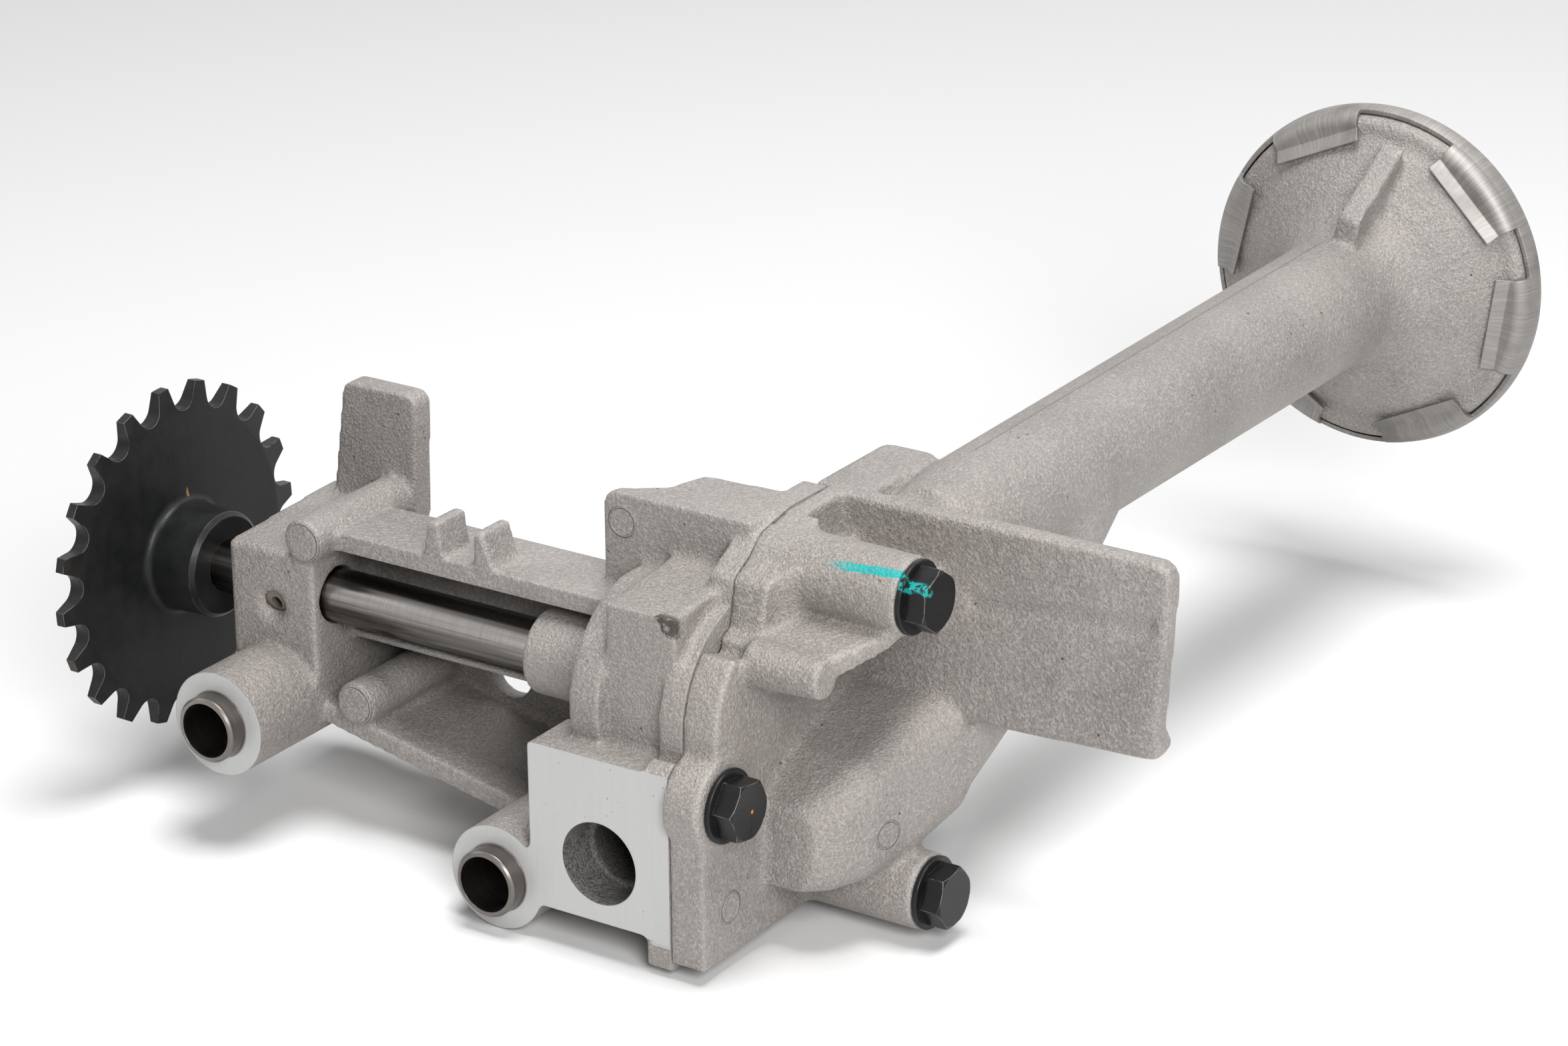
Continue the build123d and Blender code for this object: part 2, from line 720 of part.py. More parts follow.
with BuildPart() as pump_cover:
    # Baffle plate
    with BuildSketch(frontal(baffle_front)):
        Polygon(
            (parting, baffle_low - 1.0),
            (baffle_right - 2.2, baffle_low + 1.8),
            (baffle_right, top_z - 6.0),
            (baffle_right, top_z),
            (parting, top_z),
            align=None,
        )
        fillet(vertices().group_by(Axis.X)[-1].group_by(Axis.Y)[-1], radius=baffle_corner)
    extrude(amount=baffle_front - baffle_back)
    fillet(faces().sort_by(Axis.Y)[0].edges(), radius=baffle_round)
    groove_y = baffle_front - groove_r + groove_depth
    groove_from = (groove_start[0], groove_y, groove_start[1])
    groove_to = (groove_end[0], groove_y, groove_end[1])
    add(bar(groove_from, groove_to, groove_r), mode=Mode.SUBTRACT)
    # Tongue on the back of the plate
    add(brick((tongue_left, tongue_right), (strip_back + body_gap, tongue_back), (tongue_low, top_z)))
    fillet(edges().filter_by(Axis.Z).group_by(Axis.Y)[-1], radius=tongue_corner)
    # Joint flange
    with BuildSketch(station(parting)):
        with BuildLine():
            joint_outline(cover_bottom, notch=True)
        make_face()
    extrude(amount=flange_thick)
    recess_x = (recess_left, flange_x + lap)
    add(brick(recess_x, (recess_front, baffle_front), (recess_floor, top_z + lap)), mode=Mode.SUBTRACT)
    # Saddle between the high bolt boss and the plate
    with BuildSketch(station(recess_left)):
        Polygon(
            (1.2, 22.0),
            (3.6, 28.6),
            (7.8, 30.4),
            (12.2, 29.2),
            (baffle_front + lap, 20.6),
            (baffle_front + lap, 10.0),
            (14.0, 14.5),
            (7.0, 17.0),
            align=None,
        )
    extrude(amount=saddle_right - recess_left)
    # Bolt bosses
    for spot in (bolt_a, bolt_c):
        add(rod(spot, boss_r, parting, high_seat))
    add(rod(bolt_b, ear_r, parting, low_seat))
    add(rod(bolt_d, boss_r, parting, low_seat))
    # Stub and web under the high bolt, lug on the plate
    stub_root = Plane(origin=(cover_stub_left, *cover_stub), x_dir=(0, 1, 0), z_dir=(1, 0, 0))
    stub_length = cover_stub_end - cover_stub_left
    add(Solid.make_cone(cover_stub_root_r, cover_stub_r, stub_length, stub_root))
    add(cover_web.part)
    add(cover_shoulder.part)
    add(post(lug_centre, lug_r, baffle_front + lug_inset, baffle_back + lug_rise))
    # Cored duct from the bulge up to the tube
    for y, left, right, corner, low, high in duct_sections:
        with BuildSketch(frontal(y)):
            with BuildLine():
                duct_section(left, right, corner, low, high)
            make_face()
    loft(ruled=True)
    for y, left, right, corner, low, high in bulge_sections:
        with BuildSketch(frontal(y)):
            with BuildLine():
                duct_section(left, right, corner, low, high)
            make_face()
    loft(ruled=True)
    # Suction tube and bell
    with BuildSketch(tube_plane):
        with BuildLine():
            start = Polyline(
                (tube_start_y, 0),
                (tube_start_y, tube_start_r),
                (tube_full_y, tube_full_r),
                (flare_start_y, tube_end_r),
            )
            flare = ThreePointArc(start @ 1, flare_mid, flare_end)
            dish = Polyline(flare @ 1, (rim_y, bell_lip_r), (rim_y, rim_flat_r))
            edge = ThreePointArc(dish @ 1, rim_round_mid, (rim_y + rim_round, rim_r))
            Polyline(
                edge @ 1,
                (rim_taper_y, rim_r),
                (rim_end_y, rim_back_r),
                (rim_end_y, 0),
                (tube_start_y, 0),
            )
        make_face()
    revolve(axis=tube_axis)
    # Gusset on the back of the bell, with a round pocket on its right side
    fin_side = Vector(math.sin(fin_angle), 0, -math.cos(fin_angle))
    fin_base = Vector(tube_x, 0, tube_z) - fin_side * (fin_thick / 2)
    with BuildSketch(Plane(origin=fin_base, x_dir=(0, 1, 0), z_dir=fin_side)):
        Polygon(
            (rim_y, fin_low_r),
            fin_notch,
            fin_top,
            (fin_front_y, fin_front_r),
            (fin_front_y, fin_low_r),
            align=None,
        )
    extrude(amount=fin_thick)
    pocket_face = fin_base + fin_side * fin_thick
    fin_up = Vector(math.cos(fin_angle), 0, math.sin(fin_angle))
    pocket_at = pocket_face + Vector(0, fin_pocket[0], 0) + fin_up * fin_pocket[1]
    pocket = Plane(origin=pocket_at - fin_side * fin_pocket_depth, z_dir=fin_side)
    add(Solid.make_cylinder(fin_pocket_r, fin_pocket_depth + lap, pocket), mode=Mode.SUBTRACT)

    # Inside of the duct
    for y, left, right, corner, low, high in cavity_sections:
        with BuildSketch(frontal(y)):
            with BuildLine():
                duct_section(left, right, corner, low, high)
            make_face()
    loft(ruled=True, mode=Mode.SUBTRACT)
    # Inside of the tube and bell
    with BuildSketch(tube_plane):
        with BuildLine():
            bore = Polyline(
                (tube_bore_y, 0),
                (tube_bore_y, tube_bore_start_r),
                (bell_inner_start_y, tube_bore_end_r),
            )
            inner = ThreePointArc(bore @ 1, bell_inner_mid, bell_inner_end)
            Polyline(inner @ 1, bell_inner_rim, (rim_end_y, bell_mouth_r), (rim_end_y, 0), (tube_bore_y, 0))
        make_face()
    revolve(axis=tube_axis, mode=Mode.SUBTRACT)
    # Suction port into the gear chamber
    add(brick((parting, cavity_left + port_lap), port_y, port_z), mode=Mode.SUBTRACT)
    # Shaft tail bore, bolt holes and pin holes
    add(rod((0, 0), shaft_r + running_gap, parting, parting + shaft_tail + body_gap), mode=Mode.SUBTRACT)
    for spot, seat in cover_bolts_at:
        add(rod(spot, cover_hole_r, parting, seat), mode=Mode.SUBTRACT)
    for spot in pin_spots:
        add(rod(spot, pin_r, parting, parting + pin_length / 2 + pin_bottom_gap), mode=Mode.SUBTRACT)
pump_cover.part.label = "pump_cover"
export_step(pump_cover.part, "parts/pump_cover.step")


# Drive shaft with the seat for the gear key
plate_back = plate_face - plate_thick
with BuildPart() as drive_shaft:
    add(rod((0, 0), shaft_r, plate_back - shaft_nose, parting + shaft_tail))
    chamfer(edges().filter_by(GeomType.CIRCLE), length=shaft_chamfer)
    add(brick((key_left, key_right), (-key_half, key_half), (key_low, shaft_r + lap)), mode=Mode.SUBTRACT)
drive_shaft.part.label = "drive_shaft"
export_step(drive_shaft.part, "parts/drive_shaft.step")

with BuildPart() as gear_key:
    add(brick((key_left, key_right), (-key_half, key_half), (key_low, key_high)))
gear_key.part.label = "gear_key"
export_step(gear_key.part, "parts/gear_key.step")

# Chain sprocket with its hub
tip_side = (plate_thick - tip_thick) / 2
flank_x = -seat_r * math.cos(seat_angle)
flank_half = seat_r * math.sin(seat_angle)
mouth_half = flank_half + (gullet_reach - flank_x) / math.tan(seat_angle)
with BuildPart() as drive_sprocket:
    with BuildSketch(Plane.XY):
        Polygon(
            (plate_back, 0),
            (hub_end, 0),
            (hub_end, hub_r - hub_chamfer),
            (hub_end - hub_chamfer, hub_r),
            (plate_face, hub_r + hub_taper),
            (plate_face, bevel_start_r),
            (plate_face - tip_side, sprocket_tip_r),
            (plate_back + tip_side, sprocket_tip_r),
            (plate_back, bevel_start_r),
            align=None,
        )
        on_face = vertices().filter_by_position(Axis.X, plate_face - 0.1, plate_face + 0.1)
        fillet(on_face.sort_by(Axis.Y)[0], radius=sprocket_fillet)
    revolve(axis=Axis.X)
    with BuildSketch(station(plate_back - lap)):
        with PolarLocations(pitch_r + seat_lift, teeth, start_angle=tooth_phase + 180 / teeth):
            Circle(seat_r)
            Polygon(
                (flank_x, -flank_half),
                (gullet_reach, -mouth_half),
                (gullet_reach, mouth_half),
                (flank_x, flank_half),
                align=None,
            )
    extrude(amount=plate_thick + 2 * lap, mode=Mode.SUBTRACT)
    add(rod((0, 0), shaft_r, plate_back, hub_end), mode=Mode.SUBTRACT)
drive_sprocket.part.label = "drive_sprocket"
export_step(drive_sprocket.part, "parts/drive_sprocket.step")


# Spur gears of the pump
def half_angle(radius):
    """Half of the tooth angle at a radius, in degrees, with the backlash taken off."""
    base_r = gear_pitch_r * math.cos(pressure_angle)
    pitch_inv = math.tan(pressure_angle) - pressure_angle
    here = math.acos(min(1.0, base_r / radius))
    thin = backlash / (2 * gear_pitch_r)
    return math.degrees(math.pi / (2 * gear_teeth) - thin / 2 + pitch_inv - (math.tan(here) - here))


def gear_outline(centre, first_tooth):
    """Toothed outline around a centre, with one tooth at the given angle."""
    base_r = gear_pitch_r * math.cos(pressure_angle)
    mid_r = (base_r + gear_tip_r) / 2
    pitch_angle = 360 / gear_teeth
    for number in range(gear_teeth):
        turn = first_tooth + number * pitch_angle
        foot = half_angle(base_r)
        low_left = polar(gear_root_r, turn - foot, centre)
        base_left = polar(base_r, turn - foot, centre)
        mid_left_point = polar(mid_r, turn - half_angle(mid_r), centre)
        tip_left = polar(gear_tip_r, turn - half_angle(gear_tip_r), centre)
        tip_right = polar(gear_tip_r, turn + half_angle(gear_tip_r), centre)
        mid_right_point = polar(mid_r, turn + half_angle(mid_r), centre)
        base_right = polar(base_r, turn + foot, centre)
        low_right = polar(gear_root_r, turn + foot, centre)
        next_left = polar(gear_root_r, turn + pitch_angle - foot, centre)
        Line(low_left, base_left)
        ThreePointArc(base_left, mid_left_point, tip_left)
        ThreePointArc(tip_left, polar(gear_tip_r, turn, centre), tip_right)
        ThreePointArc(tip_right, mid_right_point, base_right)
        Line(base_right, low_right)
        ThreePointArc(low_right, polar(gear_root_r, turn + pitch_angle / 2, centre), next_left)


with BuildPart() as drive_gear:
    with BuildSketch(station(gear_left)):
        with BuildLine():
            gear_outline((0, 0), mesh_angle)
        make_face()
    extrude(amount=gear_right - gear_left)
    add(rod((0, 0), shaft_r, gear_left, gear_right), mode=Mode.SUBTRACT)
    keyway_z = (0, key_high + key_slack)
    add(brick((gear_left, gear_right), (-key_half, key_half), keyway_z), mode=Mode.SUBTRACT)
drive_gear.part.label = "drive_gear"
export_step(drive_gear.part, "parts/drive_gear.step")

with BuildPart() as idler_gear:
    with BuildSketch(station(gear_left)):
        with BuildLine():
            gear_outline(idler, mesh_angle + 180 + 180 / gear_teeth)
        make_face()
    extrude(amount=gear_right - gear_left)
    add(rod(idler, bush_r, gear_left, gear_right), mode=Mode.SUBTRACT)
idler_gear.part.label = "idler_gear"
export_step(idler_gear.part, "parts/idler_gear.step")

with BuildPart() as idler_bush:
    add(rod(idler, bush_r, gear_left, gear_right))
    add(rod(idler, idler_pin_r + running_gap, gear_left, gear_right), mode=Mode.SUBTRACT)
idler_bush.part.label = "idler_bush"
export_step(idler_bush.part, "parts/idler_bush.step")

with BuildPart() as idler_pin:
    add(rod(idler, idler_pin_r, idler_pin_left, idler_pin_right))
    chamfer(edges().filter_by(GeomType.CIRCLE), length=shaft_chamfer)
idler_pin.part.label = "idler_pin"
export_step(idler_pin.part, "parts/idler_pin.step")

# Bushes for the drive shaft, the front one with its oil hole
with BuildPart() as front_bush:
    add(rod((0, 0), bush_r, front_bush_left, front_bush_right))
    add(rod((0, 0), shaft_r + running_gap, front_bush_left, front_bush_right), mode=Mode.SUBTRACT)
    add(post(oil_hole, oil_hole_r, block_front, 0), mode=Mode.SUBTRACT)
front_bush.part.label = "front_bush"
export_step(front_bush.part, "parts/front_bush.step")

with BuildPart() as rear_bush:
    add(rod((0, 0), bush_r, rear_bush_left, chamber_left))
    add(rod((0, 0), shaft_r + running_gap, rear_bush_left, chamber_left), mode=Mode.SUBTRACT)
rear_bush.part.label = "rear_bush"
export_step(rear_bush.part, "parts/rear_bush.step")

# Relief valve, closed by a plug from the back
piston_front = relief_seat_y + relief_rest_gap
piston_back = piston_front + piston_length
piston_r = relief_bore_r - running_gap
plug_front = relief_boss_back - plug_reach
spring_front = piston_front + piston_crown
seal_back = relief_boss_back + seal_thick
with BuildPart() as relief_piston:
    add(post(relief_axis, piston_r, piston_front, piston_back))
    fillet(edges().filter_by(GeomType.CIRCLE).group_by(Axis.Y)[0], radius=piston_wall / 2)
    add(post(relief_axis, piston_r - piston_wall, spring_front, piston_back), mode=Mode.SUBTRACT)
relief_piston.part.label = "relief_piston"
export_step(relief_piston.part, "parts/relief_piston.step")

spring_rise = plug_front - spring_front - 2 * spring_wire_r
with BuildPart() as spring_coil:
    with BuildLine():
        coil = Helix(pitch=spring_rise / spring_turns, height=spring_rise, radius=spring_r - spring_wire_r)
    with BuildSketch(Plane(origin=coil @ 0, z_dir=coil % 0)):
        Circle(spring_wire_r)
    sweep(is_frenet=True)
spring_seat = (relief_axis[0], spring_front + spring_wire_r, relief_axis[1])
spring_place = Plane(origin=spring_seat, x_dir=(1, 0, 0), z_dir=(0, 1, 0))
relief_spring = spring_place.location * spring_coil.part
relief_spring.label = "relief_spring"
export_step(relief_spring, "parts/relief_spring.step")

with BuildPart() as relief_seal:
    add(post(relief_axis, plug_head_r, relief_boss_back, seal_back))
    add(post(relief_axis, relief_bore_r, relief_boss_back, seal_back), mode=Mode.SUBTRACT)
relief_seal.part.label = "relief_seal"
export_step(relief_seal.part, "parts/relief_seal.step")

with BuildPart() as relief_plug:
    add(post(relief_axis, plug_head_r, seal_back, seal_back + plug_head_thick))
    chamfer(edges().filter_by(GeomType.CIRCLE).group_by(Axis.Y)[-1], length=plug_head_chamfer)
    add(post(relief_axis, relief_bore_r, plug_front, seal_back + lap))
    with BuildSketch(frontal(seal_back + plug_head_thick)):
        with Locations(relief_axis):
            RegularPolygon(plug_hex_flats / 2, 6, major_radius=False)
    extrude(amount=plug_hex_depth, mode=Mode.SUBTRACT)
relief_plug.part.label = "relief_plug"
export_step(relief_plug.part, "parts/relief_plug.step")

# Stepped dowel sleeves around the mounting bolts
with BuildPart() as dowel_sleeves:
    for boss in (boss_a, boss_b):
        add(post(boss, sleeve_r, mount_y - sleeve_out, mount_y))
        add(post(boss, sleeve_seat_r, mount_y, mount_y + sleeve_in))
    chamfer(edges().filter_by(GeomType.CIRCLE).group_by(Axis.Y)[0], length=sleeve_chamfer)
    chamfer(edges().filter_by(GeomType.CIRCLE).group_by(Axis.Y)[-1], length=sleeve_chamfer)
    for boss in (boss_a, boss_b):
        add(post(boss, sleeve_bore_r, mount_y - sleeve_out, mount_y + sleeve_in), mode=Mode.SUBTRACT)
dowel_sleeves.part.label = "dowel_sleeves"
export_step(dowel_sleeves.part, "parts/dowel_sleeves.step")

# Cover bolts, their washers and the locating pins
with BuildPart() as bolt_washers:
    for spot, seat in cover_bolts_at:
        add(rod(spot, washer_r, seat, seat + washer_thick))
    fillet(edges().filter_by(GeomType.CIRCLE), radius=washer_round)
    for spot, seat in cover_bolts_at:
        add(rod(spot, cover_hole_r, seat, seat + washer_thick), mode=Mode.SUBTRACT)
bolt_washers.part.label = "bolt_washers"
export_step(bolt_washers.part, "parts/bolt_washers.step")

hex_corner_r = hex_flats / math.sqrt(3)
with BuildPart() as cover_bolts:
    for (spot, seat), bolt_turn in zip(cover_bolts_at, bolt_turns):
        with BuildSketch(station(seat + washer_thick)):
            with Locations(spot):
                RegularPolygon(hex_corner_r, 6, rotation=bolt_turn)
        extrude(amount=hex_height)
    # Bevel that rounds off the corners of each head
    bevel_top_r = hex_corner_r - hex_bevel
    bevel_low_r = bevel_top_r + hex_height / math.tan(hex_bevel_angle)
    for spot, seat in cover_bolts_at:
        head_left = seat + washer_thick
        head_right = head_left + hex_height
        head_base = Plane(origin=(head_left, *spot), x_dir=(0, 1, 0), z_dir=(1, 0, 0))
        cone = Solid.make_cone(bevel_low_r, bevel_top_r, hex_height, head_base)
        add(rod(spot, bevel_low_r + lap, head_left, head_right).cut(cone), mode=Mode.SUBTRACT)
    for spot, seat in cover_bolts_at:
        add(rod(spot, cover_bolt_r, bolt_end, seat + washer_thick))
cover_bolts.part.label = "cover_bolts"
export_step(cover_bolts.part, "parts/cover_bolts.step")

with BuildPart() as locating_pins:
    for spot in pin_spots:
        add(rod(spot, pin_r, parting - pin_length / 2, parting + pin_length / 2))
    chamfer(edges().filter_by(GeomType.CIRCLE), length=pin_chamfer)
locating_pins.part.label = "locating_pins"
export_step(locating_pins.part, "parts/locating_pins.step")


# Strainer cup, pressed from sheet and folded over the rim of the bell
def radial_plane(angle):
    """Plane through the tube axis, drawn with y to the right and the radius up."""
    turn = math.radians(angle)
    side = (math.sin(turn), 0, -math.cos(turn))
    return Plane(origin=(tube_x, 0, tube_z), x_dir=(0, 1, 0), z_dir=side)


# One tab at angle zero, laid over the rim and down the slope of the bell
with BuildPart() as strainer_tab:
    with BuildSketch(radial_plane(0)):
        Polygon(
            (rim_y, fold_r),
            (rim_y, tab_bend_r),
            (rim_y - tab_lift, tab_reach_r),
            (fold_y - tab_lift, tab_reach_r),
            (fold_y, tab_bend_r),
            (fold_y, fold_r),
            align=None,
        )
    extrude(amount=tab_width / 2, both=True)
    add(post((tube_x, tube_z), fold_r, fold_y - 2 * tab_lift, rim_y), mode=Mode.INTERSECT)

lip_y = rim_y + rim_round
lip_outer_r = cup_lip_r + cup_thick
belly_r = lip_outer_r + cup_bulge
cup_inside_y = cup_floor_y - cup_thick
with BuildPart() as strainer_cup:
    with BuildSketch(tube_plane):
        with BuildLine():
            wall_end = (cup_floor_y, cup_floor_r + cup_floor_round)
            wall = ThreePointArc((lip_y, lip_outer_r), (cup_belly_y, belly_r), wall_end)
            window = Polyline(wall @ 1, (cup_floor_y, cup_window_r), (cup_inside_y, cup_window_r))
            floor = Line(window @ 1, (cup_inside_y, cup_floor_r))
            inside = ThreePointArc(floor @ 1, (cup_belly_y, belly_r - cup_thick), (lip_y, cup_lip_r))
            Line(inside @ 1, wall @ 0)
        make_face()
    revolve(axis=tube_axis)
    fold_half = math.degrees(math.asin(tab_width / 2 / fold_r))
    for angle in tab_angles:
        with BuildSketch(radial_plane(angle + fold_half)):
            with BuildLine():
                outer = ThreePointArc((fold_y, fold_r), fold_mid, (lip_y, lip_outer_r))
                lip = Line(outer @ 1, (lip_y, cup_lip_r))
                ThreePointArc(lip @ 1, fold_inner_mid, (rim_y, fold_r))
                Line((rim_y, fold_r), (fold_y, fold_r))
            make_face()
        revolve(axis=tube_axis, revolution_arc=2 * fold_half)
        add(strainer_tab.part.rotate(tube_axis, -angle))
strainer_cup.part.label = "strainer_cup"
export_step(strainer_cup.part, "parts/strainer_cup.step")

# Perforated strainer screen clamped between the bell and the cup
screen_y = rim_end_y + screen_gap
with BuildPart() as strainer_screen:
    with BuildSketch(Plane(origin=(tube_x, screen_y, tube_z), x_dir=(1, 0, 0), z_dir=(0, 1, 0))):
        Circle(screen_r)
        with GridLocations(screen_pitch, screen_pitch, screen_rows, screen_rows) as grid:
            inner_r = cup_window_r - screen_border
            spots = [spot for spot in grid.local_locations if spot.position.length < inner_r]
        with Locations(*spots):
            Rectangle(screen_hole, screen_hole, mode=Mode.SUBTRACT)
    extrude(amount=screen_thick)
strainer_screen.part.label = "strainer_screen"
export_step(strainer_screen.part, "parts/strainer_screen.step")
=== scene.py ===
import math

import bmesh
import bpy
import numpy as np
from mathutils import Matrix, Vector


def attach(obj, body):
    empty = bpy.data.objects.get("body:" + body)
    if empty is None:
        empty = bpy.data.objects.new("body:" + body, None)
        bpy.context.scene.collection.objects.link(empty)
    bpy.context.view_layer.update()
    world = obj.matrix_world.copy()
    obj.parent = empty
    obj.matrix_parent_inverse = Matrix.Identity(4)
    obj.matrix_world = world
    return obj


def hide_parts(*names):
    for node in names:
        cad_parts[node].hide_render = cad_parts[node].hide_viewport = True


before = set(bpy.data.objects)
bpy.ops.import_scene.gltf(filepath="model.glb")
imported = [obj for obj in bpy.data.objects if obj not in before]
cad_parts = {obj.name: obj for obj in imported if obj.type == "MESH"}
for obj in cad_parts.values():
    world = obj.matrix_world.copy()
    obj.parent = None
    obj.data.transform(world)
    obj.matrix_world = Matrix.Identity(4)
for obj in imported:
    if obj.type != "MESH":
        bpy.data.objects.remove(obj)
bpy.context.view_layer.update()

MM = 0.001

# Places on the pump, in millimetres
MOUNT_Y = -24.09
PARTING = 99.44
BOSS_A = (0.0, -19.27)
BOSS_B = (62.51, -33.65)
OUTLET = (84.76, -25.24)
OUTLET_R = 7.73
OUTLET_DEPTH = 7.0
PASSAGE_R = 6.2
SLEEVE_SEAT_R = 6.45
SLEEVE_SEAT_DEPTH = 9.0
BOLT_WAY_R = 4.5
FRONT_BEARING_R = 6.25
HIGH_BOLT = (7.8, 23.4)
HIGH_SEAT = 128.9
LOW_BOLT = (-17.6, -11.0)
LOW_SEAT = 107.0
BOLTS = {
    "a": (*HIGH_BOLT, HIGH_SEAT),
    "b": (*LOW_BOLT, LOW_SEAT),
    "c": (13.6, -34.6, HIGH_SEAT),
    "d": (44.0, -32.5, LOW_SEAT),
}
TUBE_X = 118.0
TUBE_Z = 22.5
FLOOR_Z = -43.6
OIL_HOLE = (0.1, -1.7)
OIL_HOLE_R = 1.2
COUNTERSINK_R = 3.6
COUNTERSINK_END_R = 1.3
BLOCK_FRONT = -7.5
STUB_A = (8.7, 12.8)
STUB_B = (18.7, -17.2)

# Skin of the castings, lengths in millimetres
HOUSING_VOXEL = 0.58
COVER_VOXEL = 0.66
SOFT_ROUNDS = 4
STOCK = 2.5
JOINT_GAP = 0.04
SEAT_DROP = 0.12
SEAT_R = 8.8
SEAT_CUT_R = 10.5
ON_PLANE = 0.02
SHARP_ANGLE = math.radians(42)

# Marks seen in the photo, in millimetres and degrees
PAINT_ANGLE = 134.0
PAINT_HEAD = 137.0
PAINT_START = 113.0
DIE_LINE_ANGLE = 97.0
SCRATCH = (-27.14, 2.0, 3.2)
RUST = (141.0, 197.0, 39.0)
FLECK = (LOW_SEAT + 5.0, LOW_BOLT[0] + 0.6, LOW_BOLT[1] - 0.2)
CHIP_X = 94.9
CHIP_Z = 20.4

# Colours of the marks and of the smaller pieces
PAINT = (0.010, 0.36, 0.345)
RUBBED = (0.34, 0.32, 0.30)
SAND_LIGHT = (0.60, 0.575, 0.55)
SAND_DARK = (0.13, 0.118, 0.11)
BRONZE = (0.55, 0.38, 0.18)
GEAR_GREY = (0.40, 0.39, 0.37)
SLEEVE_GREY = (0.225, 0.205, 0.19)
SCREEN_GREY = (0.50, 0.49, 0.47)
BLACK_OXIDE = (0.012, 0.012, 0.013)

# Camera as solved from the photo, in millimetres and photo pixels
CAMERA_PLACE = (494.17, -586.59, 315.23)
CAMERA_FORWARD = (-0.51101, 0.77556, -0.37065)
CAMERA_RIGHT = (0.83648, 0.54795, -0.00670)
PHOTO_WIDTH = 2351
FOCAL_PIXELS = 6701.5
SENSOR_WIDTH = 36.0

# Name, place in metres, size in metres and power of each lamp, then the floor in metres
LAMPS = (
    ("top", (0.26, 0.02, 1.25), 0.7, 15.5),
    ("front", (0.80, -0.62, 0.55), 0.5, 9.5),
    ("left", (-0.90, -0.30, 0.60), 0.6, 0.8),
    ("back", (0.1, 1.0, 0.9), 0.8, 2.0),
)
LAMP_TARGET = (0.07, 0.07, 0.0)
AMBIENT = 0.06
FLOOR_HALF = 6.0
FLOOR_CENTRE = (0.07, 0.1)


# Camera, set as the photograph was taken
def add_camera():
    forward = Vector(CAMERA_FORWARD).normalized()
    right = Vector(CAMERA_RIGHT)
    right = (right - forward * right.dot(forward)).normalized()
    up = right.cross(forward)
    data = bpy.data.cameras.new("camera")
    data.sensor_width = SENSOR_WIDTH
    data.sensor_fit = "HORIZONTAL"
    data.lens = FOCAL_PIXELS / PHOTO_WIDTH * SENSOR_WIDTH
    data.clip_start = 0.01
    data.clip_end = 50.0
    cam = bpy.data.objects.new("camera", data)
    bpy.context.scene.collection.objects.link(cam)
    turn = Matrix((right, up, -forward)).transposed().to_4x4()
    cam.matrix_world = Matrix.Translation(Vector(CAMERA_PLACE) * MM) @ turn
    bpy.context.scene.camera = cam


